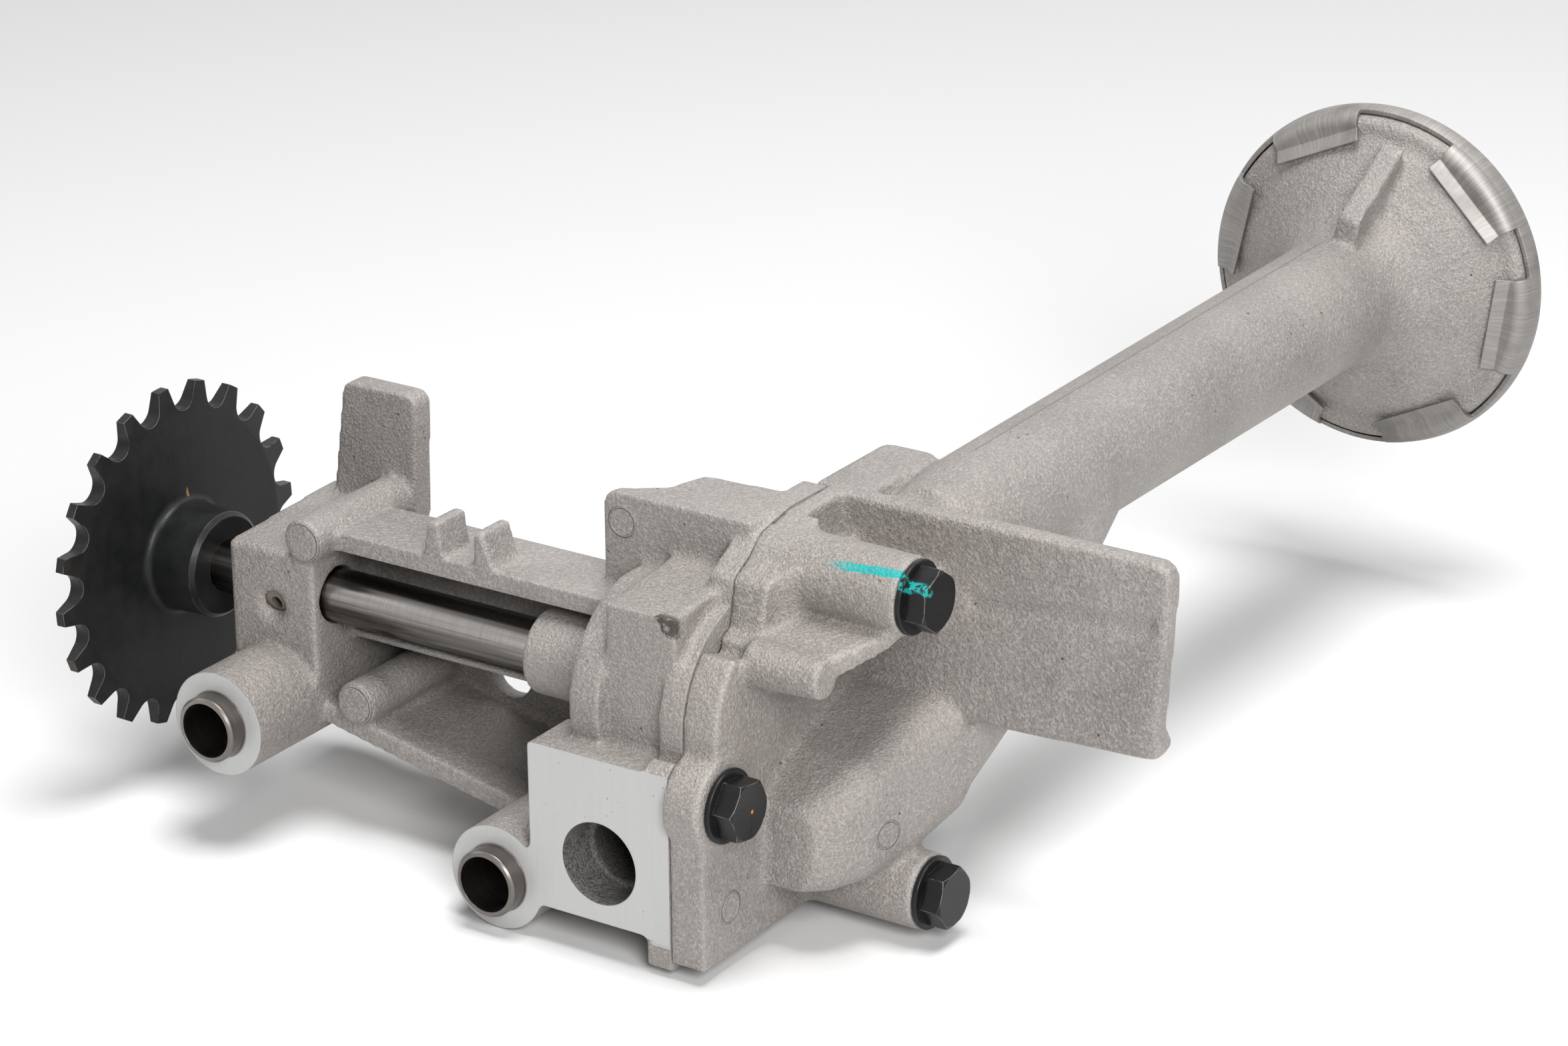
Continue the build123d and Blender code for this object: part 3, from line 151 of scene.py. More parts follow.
# Node helpers
class Tree:
    """Short way to write a material's nodes."""

    def __init__(self, name):
        self.mat = bpy.data.materials.new(name)
        self.mat.use_nodes = True
        self.nt = self.mat.node_tree
        self.nt.nodes.clear()
        self.out = self.nt.nodes.new("ShaderNodeOutputMaterial")
        self.bsdf = self.nt.nodes.new("ShaderNodeBsdfPrincipled")
        self.nt.links.new(self.bsdf.outputs[0], self.out.inputs[0])
        self.coords = self.nt.nodes.new("ShaderNodeTexCoord").outputs["Object"]
        self.xyz = self.node("ShaderNodeSeparateXYZ", {0: self.coords}).outputs

    def node(self, kind, inputs=None, **props):
        made = self.nt.nodes.new(kind)
        for key, value in props.items():
            setattr(made, key, value)
        for key, value in (inputs or {}).items():
            if hasattr(value, "is_output"):
                self.nt.links.new(value, made.inputs[key])
            else:
                made.inputs[key].default_value = value
        return made

    def math(self, op, a, b=0.0):
        return self.node("ShaderNodeMath", {0: a, 1: b}, operation=op).outputs[0]

    def times(self, a, b):
        return self.math("MULTIPLY", a, b)

    def plus(self, a, b):
        return self.math("ADD", a, b)

    def minus(self, a, b):
        return self.math("SUBTRACT", a, b)

    def reach(self, a):
        """The value without its sign."""
        return self.math("ABSOLUTE", a)

    def larger(self, a, b):
        return self.math("MAXIMUM", a, b)

    def hypot(self, a, b):
        return self.math("SQRT", self.plus(self.times(a, a), self.times(b, b)))

    def swing(self, value, width):
        """A noise value spread evenly round zero."""
        return self.times(self.minus(value, 0.5), width)

    def mapped(self, scale=(1, 1, 1), turn=(0, 0, 0)):
        """The object's coordinates, scaled and turned."""
        ins = {"Vector": self.coords, "Scale": scale, "Rotation": turn}
        return self.node("ShaderNodeMapping", ins).outputs[0]

    def distance(self, point, where=None):
        """Distance in metres from a point given in millimetres."""
        ins = {0: where or self.coords, 1: tuple(v * MM for v in point)}
        return self.node("ShaderNodeVectorMath", ins, operation="DISTANCE").outputs["Value"]

    def edge(self, radius, samples=4):
        """Normal of a surface whose edges are rounded by a radius in millimetres."""
        return self.node("ShaderNodeBevel", {"Radius": radius * MM}, samples=samples).outputs[0]

    def noise(self, scale, detail=3.0, rough=0.55, where=None):
        ins = {"Vector": where or self.coords, "Scale": scale, "Detail": detail, "Roughness": rough}
        return self.node("ShaderNodeTexNoise", ins).outputs["Fac"]

    def cells(self, scale, where):
        ins = {"Vector": where, "Scale": scale}
        return self.node("ShaderNodeTexVoronoi", ins).outputs["Distance"]

    def ramp(self, fac, stops):
        """Colour between stops, which are pairs of a place and a colour."""
        made = self.node("ShaderNodeValToRGB", {0: fac})
        band = made.color_ramp
        while len(band.elements) < len(stops):
            band.elements.new(0.5)
        for element, (place, colour) in zip(band.elements, stops):
            element.position = place
            element.color = (*colour, 1)
        return made.outputs[0]

    def step(self, value, low, high):
        """0 below low and 1 above high, smoothly between; low may be above high."""
        ins = {0: value, 1: low, 2: high, 3: 0.0, 4: 1.0}
        return self.node("ShaderNodeMapRange", ins, interpolation_type="SMOOTHSTEP").outputs[0]

    def mix(self, fac, a, b):
        """Mixes two colours."""
        made = self.node("ShaderNodeMix", None, data_type="RGBA")
        for key, value in ((0, fac), (6, a), (7, b)):
            if hasattr(value, "is_output"):
                self.nt.links.new(value, made.inputs[key])
            else:
                made.inputs[key].default_value = value if key == 0 else (*value, 1)
        return made.outputs[2]

    def blend(self, fac, a, b):
        """Mixes two numbers."""
        return self.node("ShaderNodeMix", {0: fac, 2: a, 3: b}).outputs[0]

    def bump(self, height, distance, strength, normal):
        """Bumps over a normal; the distance is in millimetres."""
        ins = {"Height": height, "Distance": distance * MM, "Strength": strength, "Normal": normal}
        return self.node("ShaderNodeBump", ins).outputs[0]

    def near(self, axis_values, centre, radius, soft):
        """Distance in metres from a centre, and 1 within a radius of it, both given in millimetres."""
        da = self.minus(axis_values[0], centre[0] * MM)
        db = self.minus(axis_values[1], centre[1] * MM)
        dist = self.hypot(da, db)
        return dist, self.step(dist, (radius + soft) * MM, (radius - soft) * MM)

    def set(self, **values):
        """Sets the surface's inputs by short names and returns the material."""
        names = {
            "colour": "Base Color", "rough": "Roughness", "metal": "Metallic", "normal": "Normal",
            "spec": "Specular IOR Level",
        }
        for key, value in values.items():
            socket = self.bsdf.inputs[names[key]]
            if hasattr(value, "is_output"):
                self.nt.links.new(value, socket)
            else:
                socket.default_value = (*value, 1) if key == "colour" else value
        return self.mat


def cast_material():
    """Shot-blasted cast alloy with milled faces and small casting marks."""
    t = Tree("cast_alloy")
    x, y, z = t.xyz[0], t.xyz[1], t.xyz[2]
    normal = t.node("ShaderNodeTexCoord").outputs["Normal"]
    nxyz = t.node("ShaderNodeSeparateXYZ", {0: normal}).outputs
    # Milled faces lie in the mounting plane, left of the joint
    on_mount = t.math("LESS_THAN", t.reach(t.minus(y, MOUNT_Y * MM)), 0.06 * MM)
    faces_front = t.math("LESS_THAN", nxyz[1], -0.97)
    left_of_joint = t.math("LESS_THAN", x, (PARTING + 0.01) * MM)
    milled = t.times(t.times(on_mount, faces_front), left_of_joint)
    in_bore = t.near((x, z), OUTLET, OUTLET_R + 0.1, 0.04)[1]
    deep = t.math("LESS_THAN", y, 12.0 * MM)
    bored = t.times(t.times(in_bore, deep), t.minus(1.0, milled))
    # Sand grain in three sizes
    sand = t.noise(3300.0, 2.0, 0.6)
    grit = t.noise(1900.0, 2.0, 0.6)
    lumps = t.noise(520.0, 3.0, 0.55)
    grain = t.plus(t.times(sand, 0.35), t.times(grit, 0.65))
    speck = t.step(grain, 0.51, 0.61)
    hollow = t.step(grain, 0.49, 0.39)
    # Cast colour with soft stains, high edges lighter from wear and painted highlight, and painted shade in inner
    # corners
    blotch = t.noise(48.0, 4.0, 0.6)
    greys = [
        (0.30, (0.245, 0.226, 0.212)),
        (0.55, (0.300, 0.277, 0.260)),
        (0.78, (0.352, 0.326, 0.306)),
    ]
    tone = t.ramp(blotch, greys)
    tone = t.mix(t.times(t.step(t.noise(13.0, 2.0), 0.48, 0.70), 0.30), tone, (0.315, 0.280, 0.252))
    point = t.node("ShaderNodeNewGeometry").outputs["Pointiness"]
    # Convex edges lighter, partly wear and partly painted highlight; concave corners and creases darker as painted
    # shade
    high = t.step(point, 0.520, 0.575)
    low = t.step(point, 0.490, 0.44)
    cast = t.mix(t.times(speck, 0.30), tone, SAND_LIGHT)
    cast = t.mix(t.times(hollow, 0.30), cast, SAND_DARK)
    cast = t.mix(t.times(high, 0.30), cast, (0.56, 0.535, 0.51))
    # Painted shade in the concave corners and creases
    cast = t.mix(t.times(low, 0.55), cast, (0.11, 0.10, 0.092))
    pits = t.step(t.cells(260.0, t.mapped((1, 1, 1), (0.3, 0.7, 0.2))), 0.075, 0.03)
    pits = t.times(pits, t.step(t.noise(60.0, 2.0), 0.52, 0.60))
    cast = t.mix(t.times(pits, 0.8), cast, (0.05, 0.048, 0.045))
    # Fine lines and handling scratches on the milled faces
    streak = t.noise(70.0, 4.0, 0.6, t.mapped((16.0, 1.0, 1.0), (0, 0.5, 0)))
    mill = t.ramp(streak, [(0.3, (0.485, 0.487, 0.481)), (0.7, (0.505, 0.507, 0.501))])
    scuff = t.step(t.noise(190.0, 6.0, 0.72, t.mapped((1.0, 1.0, 3.2), (0, 0.9, 0))), 0.63, 0.72)
    mill = t.mix(t.times(scuff, 0.45), mill, (0.33, 0.33, 0.325))
    pores = t.step(t.cells(620.0, t.mapped((1, 1, 1), (0.9, 0.1, 0.5))), 0.16, 0.05)
    pores = t.times(pores, t.step(t.noise(110.0, 3.0), 0.50, 0.62))
    bore_pits = t.times(t.step(t.noise(2300.0, 3.0, 0.7), 0.47, 0.60), 0.8)
    # Painted shade: the bore is a darker grey than the milled faces, with small dark pits in it
    bore = t.mix(bore_pits, (0.20, 0.19, 0.18), (0.035, 0.033, 0.03))
    # Painted shade: darker still deeper in the bore
    darker = t.step(y, (MOUNT_Y + 5.5) * MM, (MOUNT_Y + 8.5) * MM)
    bore = t.mix(t.times(darker, 0.55), bore, (0.075, 0.07, 0.065))
    colour = t.mix(milled, cast, mill)
    colour = t.mix(bored, colour, bore)
    # Chipped corner on the tower over the drive gear
    chip_at = t.plus(t.minus(x, CHIP_X * MM), t.minus(z, CHIP_Z * MM))
    on_front = t.times(t.step(y, -15.2 * MM, -16.4 * MM), t.step(x, 88.5 * MM, 90.0 * MM))
    ragged = t.swing(t.noise(420.0, 4.0, 0.65), 9.0 * MM)
    chip = t.times(t.step(t.plus(chip_at, ragged), -2.6 * MM, -1.8 * MM), on_front)
    chip = t.times(chip, t.step(z, 15.5 * MM, 17.0 * MM))
    crumbs = t.step(t.noise(700.0, 3.0), 0.45, 0.6)
    chip_tone = t.mix(crumbs, (0.05, 0.042, 0.035), (0.24, 0.215, 0.19))
    colour = t.mix(chip, colour, chip_tone)
    # Paint stripe along the high bolt boss, faint and streaky at its start
    stripe_angle = t.math("ARCTAN2", t.minus(z, HIGH_BOLT[1] * MM), t.minus(y, HIGH_BOLT[0] * MM))
    wobble = t.swing(t.noise(260.0, 3.0), 0.22)
    drift = t.times(t.minus(x, 120.0 * MM), 14.0)
    off = t.plus(t.plus(stripe_angle, wobble), drift)
    band_a = t.step(t.reach(t.minus(off, math.radians(PAINT_ANGLE))), 0.135, 0.10)
    begins = t.step(x, PAINT_START * MM, (PAINT_START + 4.0) * MM)
    band_x = t.times(begins, t.step(x, (HIGH_SEAT + 0.6) * MM, (HIGH_SEAT + 0.1) * MM))
    near_boss = t.near((y, z), HIGH_BOLT, 7.6, 0.2)[1]
    bristles = t.noise(1.0, 3.0, 0.6, t.mapped((260.0, 2200.0, 2200.0)))
    filled = t.step(x, (PAINT_START - 1.0) * MM, (PAINT_START + 14.0) * MM)
    solid = t.plus(filled, t.times(bristles, 1.3))
    paint = t.times(t.times(t.times(band_a, band_x), near_boss), t.step(solid, 0.62, 1.15))
    colour = t.mix(paint, colour, PAINT)
    # Ejector marks
    rings = None
    for axes, centre, radius, start, end, along in (
        ((x, z), (71.2, 26.0), 2.7, 2.0, 6.0, y),
        ((y, z), (-15.9, -31.2), 2.8, 105.5, 107.5, x),
        ((y, z), (6.8, -22.0), 2.5, 121.0, 129.0, x),
        ((x, z), STUB_A, 3.7, -9.4, -7.6, y),
        ((x, z), STUB_B, 3.7, -9.0, -7.2, y),
    ):
        dist = t.near(axes, centre, radius, 0.15)[0]
        line = t.step(t.reach(t.minus(dist, radius * MM)), 0.34 * MM, 0.06 * MM)
        from_start = t.step(along, start * MM, (start + 0.3) * MM)
        span = t.times(from_start, t.step(along, end * MM, (end - 0.3) * MM))
        mark = t.times(line, span)
        rings = mark if rings is None else t.larger(rings, mark)
    colour = t.mix(t.times(rings, 0.30), colour, (0.22, 0.205, 0.195))
    # Die line along the tube, and a rust speck on the bell
    tube_angle = t.math("ARCTAN2", t.minus(z, TUBE_Z * MM), t.minus(x, TUBE_X * MM))
    waver = t.swing(t.noise(45.0, 3.0), 0.05)
    off_line = t.minus(t.plus(tube_angle, waver), math.radians(DIE_LINE_ANGLE))
    die = t.step(t.reach(off_line), 0.030, 0.008)
    die = t.times(die, t.times(t.step(y, 44.0 * MM, 50.0 * MM), t.step(y, 186.0 * MM, 180.0 * MM)))
    colour = t.mix(t.times(die, 0.45), colour, (0.20, 0.185, 0.175))
    rust_off = t.plus(t.distance(RUST), t.swing(t.noise(900.0, 3.0), 2.6 * MM))
    rust = t.step(rust_off, 1.0 * MM, 0.5 * MM)
    colour = t.mix(rust, colour, (0.16, 0.075, 0.012))
    # Height of the surface
    height = t.plus(t.times(grain, 1.5), t.times(lumps, 1.1))
    height = t.plus(height, t.times(rings, 1.3))
    height = t.minus(height, t.times(die, 0.9))
    height = t.minus(height, t.times(pits, 1.5))
    height = t.plus(height, t.times(chip, t.times(t.noise(500.0, 4.0), 3.0)))
    mill_height = t.plus(t.times(streak, 0.02), t.times(pores, -0.2))
    height = t.blend(milled, height, mill_height)
    milled_pores = t.times(pores, milled)
    colour = t.mix(t.times(milled_pores, 0.6), colour, (0.16, 0.155, 0.15))
    rough_cast = t.plus(0.50, t.swing(grit, 0.45))
    rough = t.blend(milled, rough_cast, t.plus(0.36, t.times(streak, 0.14)))
    rough = t.blend(paint, rough, 0.35)
    metal = t.blend(t.larger(paint, t.larger(chip, rust)), 0.16, 0.0)
    metal = t.blend(milled, metal, 0.12)
    bumps = t.bump(height, 0.34, 0.9, t.edge(0.35))
    return t.set(colour=colour, rough=rough, metal=metal, normal=bumps)


def steel_material(name, colour, rough, metal=1.0, along="x", streaks=0.25, bevel=0.25):
    """Turned or ground steel: fine lines round the axis, a little oil and handling marks."""
    t = Tree(name)
    stretch = {"x": (90.0, 1.0, 1.0), "y": (1.0, 90.0, 1.0), "none": (1.0, 1.0, 1.0)}[along]
    lines = t.noise(40.0, 5.0, 0.65, t.mapped(stretch))
    smear = t.noise(90.0, 4.0, 0.6)
    dark = tuple(c * (1 - streaks) for c in colour)
    tone = t.ramp(lines, [(0.3, dark), (0.7, colour)])
    tone = t.mix(t.times(t.step(smear, 0.5, 0.75), 0.25), tone, tuple(c * 0.7 for c in colour))
    roughness = t.plus(rough, t.swing(smear, 0.25))
    height = t.plus(t.times(lines, 0.5), t.times(t.noise(1800.0, 2.0), 0.3))
    bumps = t.bump(height, 0.012, 0.7, t.edge(bevel))
    return t.set(colour=tone, rough=roughness, metal=metal, normal=bumps)


def shaft_material():
    """Polished shaft, with painted reflections as dark and bright streaks along it and fine grinding lines round
    it.
    """
    t = Tree("shaft_steel")
    # Painted reflection: dark and bright streaks along the shaft
    reflection_bands = t.noise(1.0, 3.0, 0.6, t.mapped((6.0, 260.0, 260.0)))
    greys = [
        (0.36, (0.045, 0.041, 0.038)),
        (0.50, (0.150, 0.139, 0.131)),
        (0.64, (0.400, 0.384, 0.368)),
    ]
    tone = t.ramp(reflection_bands, greys)
    lines = t.noise(1.0, 4.0, 0.7, t.mapped((3200.0, 40.0, 40.0)))
    tone = t.mix(t.times(t.step(lines, 0.45, 0.65), 0.22), tone, (0.10, 0.095, 0.09))
    smear = t.noise(120.0, 4.0, 0.6)
    rough = t.plus(0.17, t.times(t.step(smear, 0.45, 0.7), 0.10))
    height = t.plus(t.times(lines, 0.8), t.times(reflection_bands, 0.2))
    bumps = t.bump(height, 0.010, 0.7, t.edge(0.25))
    return t.set(colour=tone, rough=rough, metal=1.0, normal=bumps)


def worn_edges(t, radius, spread):
    """1 on the sharp edges that handling has rubbed bright, and the rounded normal there."""
    flat = t.node("ShaderNodeNewGeometry").outputs["Normal"]
    rounded = t.edge(radius, 6)
    pair = t.node("ShaderNodeVectorMath", {0: flat, 1: rounded}, operation="DOT_PRODUCT")
    at_edge = t.step(pair.outputs["Value"], 0.985, 0.90)
    rubbed = t.times(at_edge, t.step(t.noise(spread, 4.0), 0.38, 0.52))
    return rubbed, rounded


def black_material(name, base, rough, paint=False, wear=0.75):
    """Black oxide steel with rubbed edges, soft scuffs and a thin film of oil."""
    t = Tree(name)
    x, y, z = t.xyz[0], t.xyz[1], t.xyz[2]
    mottled = t.noise(300.0, 5.0, 0.65)
    tone = t.ramp(mottled, [(0.3, tuple(c * 0.6 for c in base)), (0.7, base)])
    scratch = t.step(t.noise(170.0, 6.0, 0.75, t.mapped((1, 5, 1), (0.4, 0.2, 0.9))), 0.64, 0.70)
    tone = t.mix(t.times(scratch, 0.35), tone, (0.16, 0.15, 0.145))
    worn, edge = worn_edges(t, 0.22, 420.0)
    tone = t.mix(t.times(worn, wear), tone, RUBBED)
    rough_out = t.plus(rough, t.swing(mottled, 0.3))
    if paint:
        angle = t.math("ARCTAN2", t.minus(z, HIGH_BOLT[1] * MM), t.minus(y, HIGH_BOLT[0] * MM))
        wobble = t.swing(t.noise(400.0, 3.0), 0.4)
        band = t.step(t.reach(t.minus(t.plus(angle, wobble), math.radians(PAINT_HEAD))), 0.24, 0.16)
        span = t.near((y, z), HIGH_BOLT, 9.0, 0.2)[1]
        ring = t.minus(1.0, t.near((y, z), HIGH_BOLT, 3.3, 0.5)[1])
        past_boss = t.step(x, 127.0 * MM, 127.4 * MM)
        mask = t.times(t.times(band, span), t.times(ring, past_boss))
        thin = t.step(t.noise(900.0, 3.0), 0.44, 0.56)
        mask = t.times(mask, thin)
        tone = t.mix(mask, tone, PAINT)
        fleck = t.step(t.distance(FLECK), 0.42 * MM, 0.28 * MM)
        tone = t.mix(fleck, tone, (0.62, 0.22, 0.02))
    bumps = t.bump(t.noise(1500.0, 3.0), 0.02, 0.6, edge)
    return t.set(colour=tone, rough=rough_out, metal=0.25, spec=0.35, normal=bumps)


def sprocket_material():
    """Near black oxide with rubbed tooth edges and a rough ring of scale at the teeth."""
    t = Tree("sprocket_steel")
    y, z = t.xyz[1], t.xyz[2]
    radius = t.hypot(y, z)
    mottled = t.noise(220.0, 5.0, 0.65)
    tone = t.ramp(mottled, [(0.3, (0.0075, 0.0080, 0.0085)), (0.7, (0.0150, 0.0155, 0.0160))])
    brown = t.times(t.step(radius, 26.5 * MM, 31.5 * MM), t.step(t.noise(140.0, 4.0), 0.48, 0.66))
    tone = t.mix(t.times(brown, 0.30), tone, (0.050, 0.040, 0.033))
    worn, edge = worn_edges(t, 0.20, 380.0)
    tone = t.mix(t.times(worn, 0.60), tone, (0.28, 0.25, 0.22))
    mark = t.distance(SCRATCH, t.mapped((1.0, 1.0, 0.28)))
    tone = t.mix(t.times(t.step(mark, 0.45 * MM, 0.2 * MM), 0.7), tone, (0.40, 0.22, 0.08))
    rough = t.plus(0.40, t.swing(mottled, 0.3))
    height = t.plus(t.noise(1200.0, 3.0), t.times(t.noise(300.0, 4.0), 0.8))
    bumps = t.bump(height, 0.03, 0.7, edge)
    return t.set(colour=tone, rough=rough, metal=0.2, spec=0.28, normal=bumps)


def cup_material():
    """Pressed sheet with fine drawn scratches and darker smears."""
    t = Tree("cup_steel")
    dx = t.minus(t.xyz[0], TUBE_X * MM)
    dz = t.minus(t.xyz[2], TUBE_Z * MM)
    angle = t.math("ARCTAN2", dz, dx)
    radius = t.hypot(dx, dz)
    polar = {0: t.times(angle, 105.0), 1: t.times(radius, 110.0), 2: t.times(t.xyz[1], 70.0)}
    around = t.node("ShaderNodeCombineXYZ", polar).outputs[0]
    drawn = t.noise(1.0, 5.0, 0.7, around)
    smear = t.noise(85.0, 4.0, 0.6)
    greys = [
        (0.32, (0.245, 0.233, 0.220)),
        (0.52, (0.295, 0.282, 0.268)),
        (0.72, (0.400, 0.384, 0.368)),
    ]
    tone = t.ramp(drawn, greys)
    tone = t.mix(t.times(t.step(smear, 0.46, 0.66), 0.50), tone, (0.150, 0.142, 0.133))
    rough = t.plus(0.46, t.times(drawn, 0.16))
    height = t.plus(t.times(drawn, 0.5), t.times(t.noise(900.0, 3.0), 0.3))
    bumps = t.bump(height, 0.03, 0.8, t.edge(0.35))
    return t.set(colour=tone, rough=rough, metal=0.9, normal=bumps)


# Shaping of the castings
def mesh_object(name, mesh):
    """Puts a mesh into the scene."""
    made = bpy.data.objects.new(name, mesh)
    bpy.context.scene.collection.objects.link(made)
    return made


def apply_modifiers(obj):
    """Puts an object's modifiers on its mesh."""
    bpy.context.view_layer.update()
    seen = obj.evaluated_get(bpy.context.evaluated_depsgraph_get())
    mesh = bpy.data.meshes.new_from_object(seen)
    obj.modifiers.clear()
    old = obj.data
    obj.data = mesh
    bpy.data.meshes.remove(old)


def points_of(mesh):
    """The points of a mesh as rows of x, y and z, in metres."""
    flat = np.zeros(len(mesh.vertices) * 3)
    mesh.vertices.foreach_get("co", flat)
    return flat.reshape(-1, 3)


def set_points(mesh, points):
    mesh.vertices.foreach_set("co", points.ravel())
    mesh.update()


def soften(mesh):
    """Rounds edges and corners without shrinking the whole."""
    pts = points_of(mesh)
    ends = np.zeros(len(mesh.edges) * 2, int)
    mesh.edges.foreach_get("vertices", ends)
    a, b = ends.reshape(-1, 2).T
    count = np.bincount(a, minlength=len(pts)) + np.bincount(b, minlength=len(pts))
    count = np.maximum(count, 1)[:, None]
    for _ in range(SOFT_ROUNDS):
        for factor in (0.6, -0.25):
            total = np.zeros_like(pts)
            for k in range(3):
                total[:, k] = np.bincount(a, pts[b, k], len(pts))
                total[:, k] += np.bincount(b, pts[a, k], len(pts))
            pts = pts + (total / count - pts) * factor
    set_points(mesh, pts)


def cylinder(name, centre, radius, low, high, axis, steps=96, far_radius=None):
    """Cutter bar or cone along x or y, in millimetres; far_radius is the one at the high end."""
    wide = (radius, radius if far_radius is None else far_radius)
    near_r, far_r = wide if axis == "x" else wide[::-1]
    bm = bmesh.new()
    radii = {"radius1": near_r * MM, "radius2": far_r * MM}
    bmesh.ops.create_cone(bm, cap_ends=True, segments=steps, depth=(high - low) * MM, **radii)
    turn = Matrix.Rotation(math.radians(90), 4, "Y" if axis == "x" else "X")
    middle = (low + high) / 2
    place = (middle, centre[0], centre[1]) if axis == "x" else (centre[0], middle, centre[1])
    bm.transform(Matrix.Translation(Vector(place) * MM) @ turn)
    mesh = bpy.data.meshes.new(name)
    bmesh.ops.recalc_face_normals(bm, faces=bm.faces)
    bm.to_mesh(mesh)
    bm.free()
    return mesh_object(name, mesh)


def block(name, x, y, z):
    """Block between two values on each axis, in millimetres."""
    bm = bmesh.new()
    bmesh.ops.create_cube(bm, size=1.0)
    scale = Matrix.Diagonal(((x[1] - x[0]) * MM, (y[1] - y[0]) * MM, (z[1] - z[0]) * MM, 1))
    middle = Vector(((x[0] + x[1]) / 2, (y[0] + y[1]) / 2, (z[0] + z[1]) / 2)) * MM
    bm.transform(Matrix.Translation(middle) @ scale)
    mesh = bpy.data.meshes.new(name)
    bm.to_mesh(mesh)
    bm.free()
    return mesh_object(name, mesh)


def face_outward(mesh):
    """Turns all faces round if together they enclose a negative volume."""
    bm = bmesh.new()
    bm.from_mesh(mesh)
    if bm.calc_volume(signed=True) < 0:
        bmesh.ops.reverse_faces(bm, faces=bm.faces)
        bm.to_mesh(mesh)
    bm.free()


def cut(obj, cutters):
    """Takes the cutters off an object and removes them."""
    for tool in cutters:
        mod = obj.modifiers.new("cut", "BOOLEAN")
        mod.operation = "DIFFERENCE"
        mod.solver = "MANIFOLD"
        mod.object = tool
    apply_modifiers(obj)
    for tool in cutters:
        mesh = tool.data
        bpy.data.objects.remove(tool)
        bpy.data.meshes.remove(mesh)


def casting(node, name, stretch, voxel, cutters, body, extras=()):
    """A cast piece made from its solid: some faces moved, all edges rounded, then milled.

    stretch holds pairs of a test that picks points in millimetres and the move of those points.
    """
    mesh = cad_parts[node].data.copy()
    mesh.name = name
    mesh.materials.clear()
    pts = points_of(mesh)
    for pick, move in stretch:
        chosen = pick(pts / MM)
        pts[chosen] += np.array(move) * MM
    set_points(mesh, pts)
    joined = bmesh.new()
    joined.from_mesh(mesh)
    for extra in extras:
        joined.from_mesh(extra.data)
        bpy.data.objects.remove(extra)
    joined.to_mesh(mesh)
    joined.free()
    obj = mesh_object(name, mesh)
    mod = obj.modifiers.new("skin", "REMESH")
    mod.mode = "VOXEL"
    mod.voxel_size = voxel * MM
    apply_modifiers(obj)
    soften(obj.data)
    face_outward(obj.data)
    cut(obj, cutters())
    obj.data.shade_smooth()
    obj.data.set_sharp_from_angle(angle=SHARP_ANGLE)
    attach(obj, body)
    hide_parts(node)
    return obj


def housing_cutters():
    """Cutters for the housing's milled faces and bores; each reaches well past the open side."""
    tools = [
        block("stock_front", (-14, PARTING + 4), (-32, MOUNT_Y), (-50, 2)),
        block("stock_joint", (PARTING, PARTING + 5), (-40, 70), (-60, 50)),
        cylinder("outlet_wide", OUTLET, OUTLET_R, -30, MOUNT_Y + OUTLET_DEPTH, "y", 128),
        cylinder("outlet_deep", OUTLET, PASSAGE_R, -30, 10, "y", 128),
        cylinder("shaft_left", (0, 0), FRONT_BEARING_R, -14, 7.0, "x"),
        cylinder("oil_hole", OIL_HOLE, OIL_HOLE_R, -9, -4, "y", 32),
        cylinder(
            "countersink", OIL_HOLE, COUNTERSINK_R, BLOCK_FRONT - 0.2, BLOCK_FRONT + 2.2, "y", 64, COUNTERSINK_END_R
        ),
    ]
    seat_end = MOUNT_Y + SLEEVE_SEAT_DEPTH
    for boss in (BOSS_A, BOSS_B):
        tools.append(cylinder("sleeve_seat", boss, SLEEVE_SEAT_R, -30, seat_end, "y"))
        tools.append(cylinder("bolt_way", boss, BOLT_WAY_R, -30, 30, "y"))
    return tools


def cover_cutters():
    """Cutters for the cover's joint face and bolt seats."""
    tools = [block("stock_joint", (PARTING - 5, PARTING), (-40, 26.6), (-60, 31.0))]
    for key, (y, z, seat) in BOLTS.items():
        tools.append(cylinder("seat_" + key, (y, z), SEAT_CUT_R, seat, seat + 4, "x"))
    return tools


def on_mounting_face(points):
    return points[:, 1] < MOUNT_Y + ON_PLANE


def on_joint(points):
    return np.abs(points[:, 0] - PARTING) < ON_PLANE


def on_bolt_seat(points):
    hit = np.zeros(len(points), bool)
    for y, z, x in BOLTS.values():
        off = np.hypot(points[:, 1] - y, points[:, 2] - z)
        hit |= (np.abs(points[:, 0] - x) < ON_PLANE) & (off < SEAT_R)
    return hit


def add_castings():
    """Both castings, as skins over their solids."""
    housing_stock = [(on_mounting_face, (0, -STOCK, 0)), (on_joint, (STOCK, 0, 0))]
    housing = casting(
        "pump_housing", "housing_casting", housing_stock, HOUSING_VOXEL, housing_cutters, "pump_body"
    )
    # The cover stands back from the joint, so that the parting line shows, and under its washers
    cover_moves = [(on_joint, (JOINT_GAP, 0, 0)), (on_bolt_seat, (-SEAT_DROP, 0, 0))]
    foot = block("shoulder_foot", (PARTING + 0.3, 105.8), (-8.4, -3.6), (9.6, 15.0))
    cover = casting(
        "pump_cover", "cover_casting", cover_moves, COVER_VOXEL, cover_cutters, "pump_body", [foot]
    )
    return housing, cover


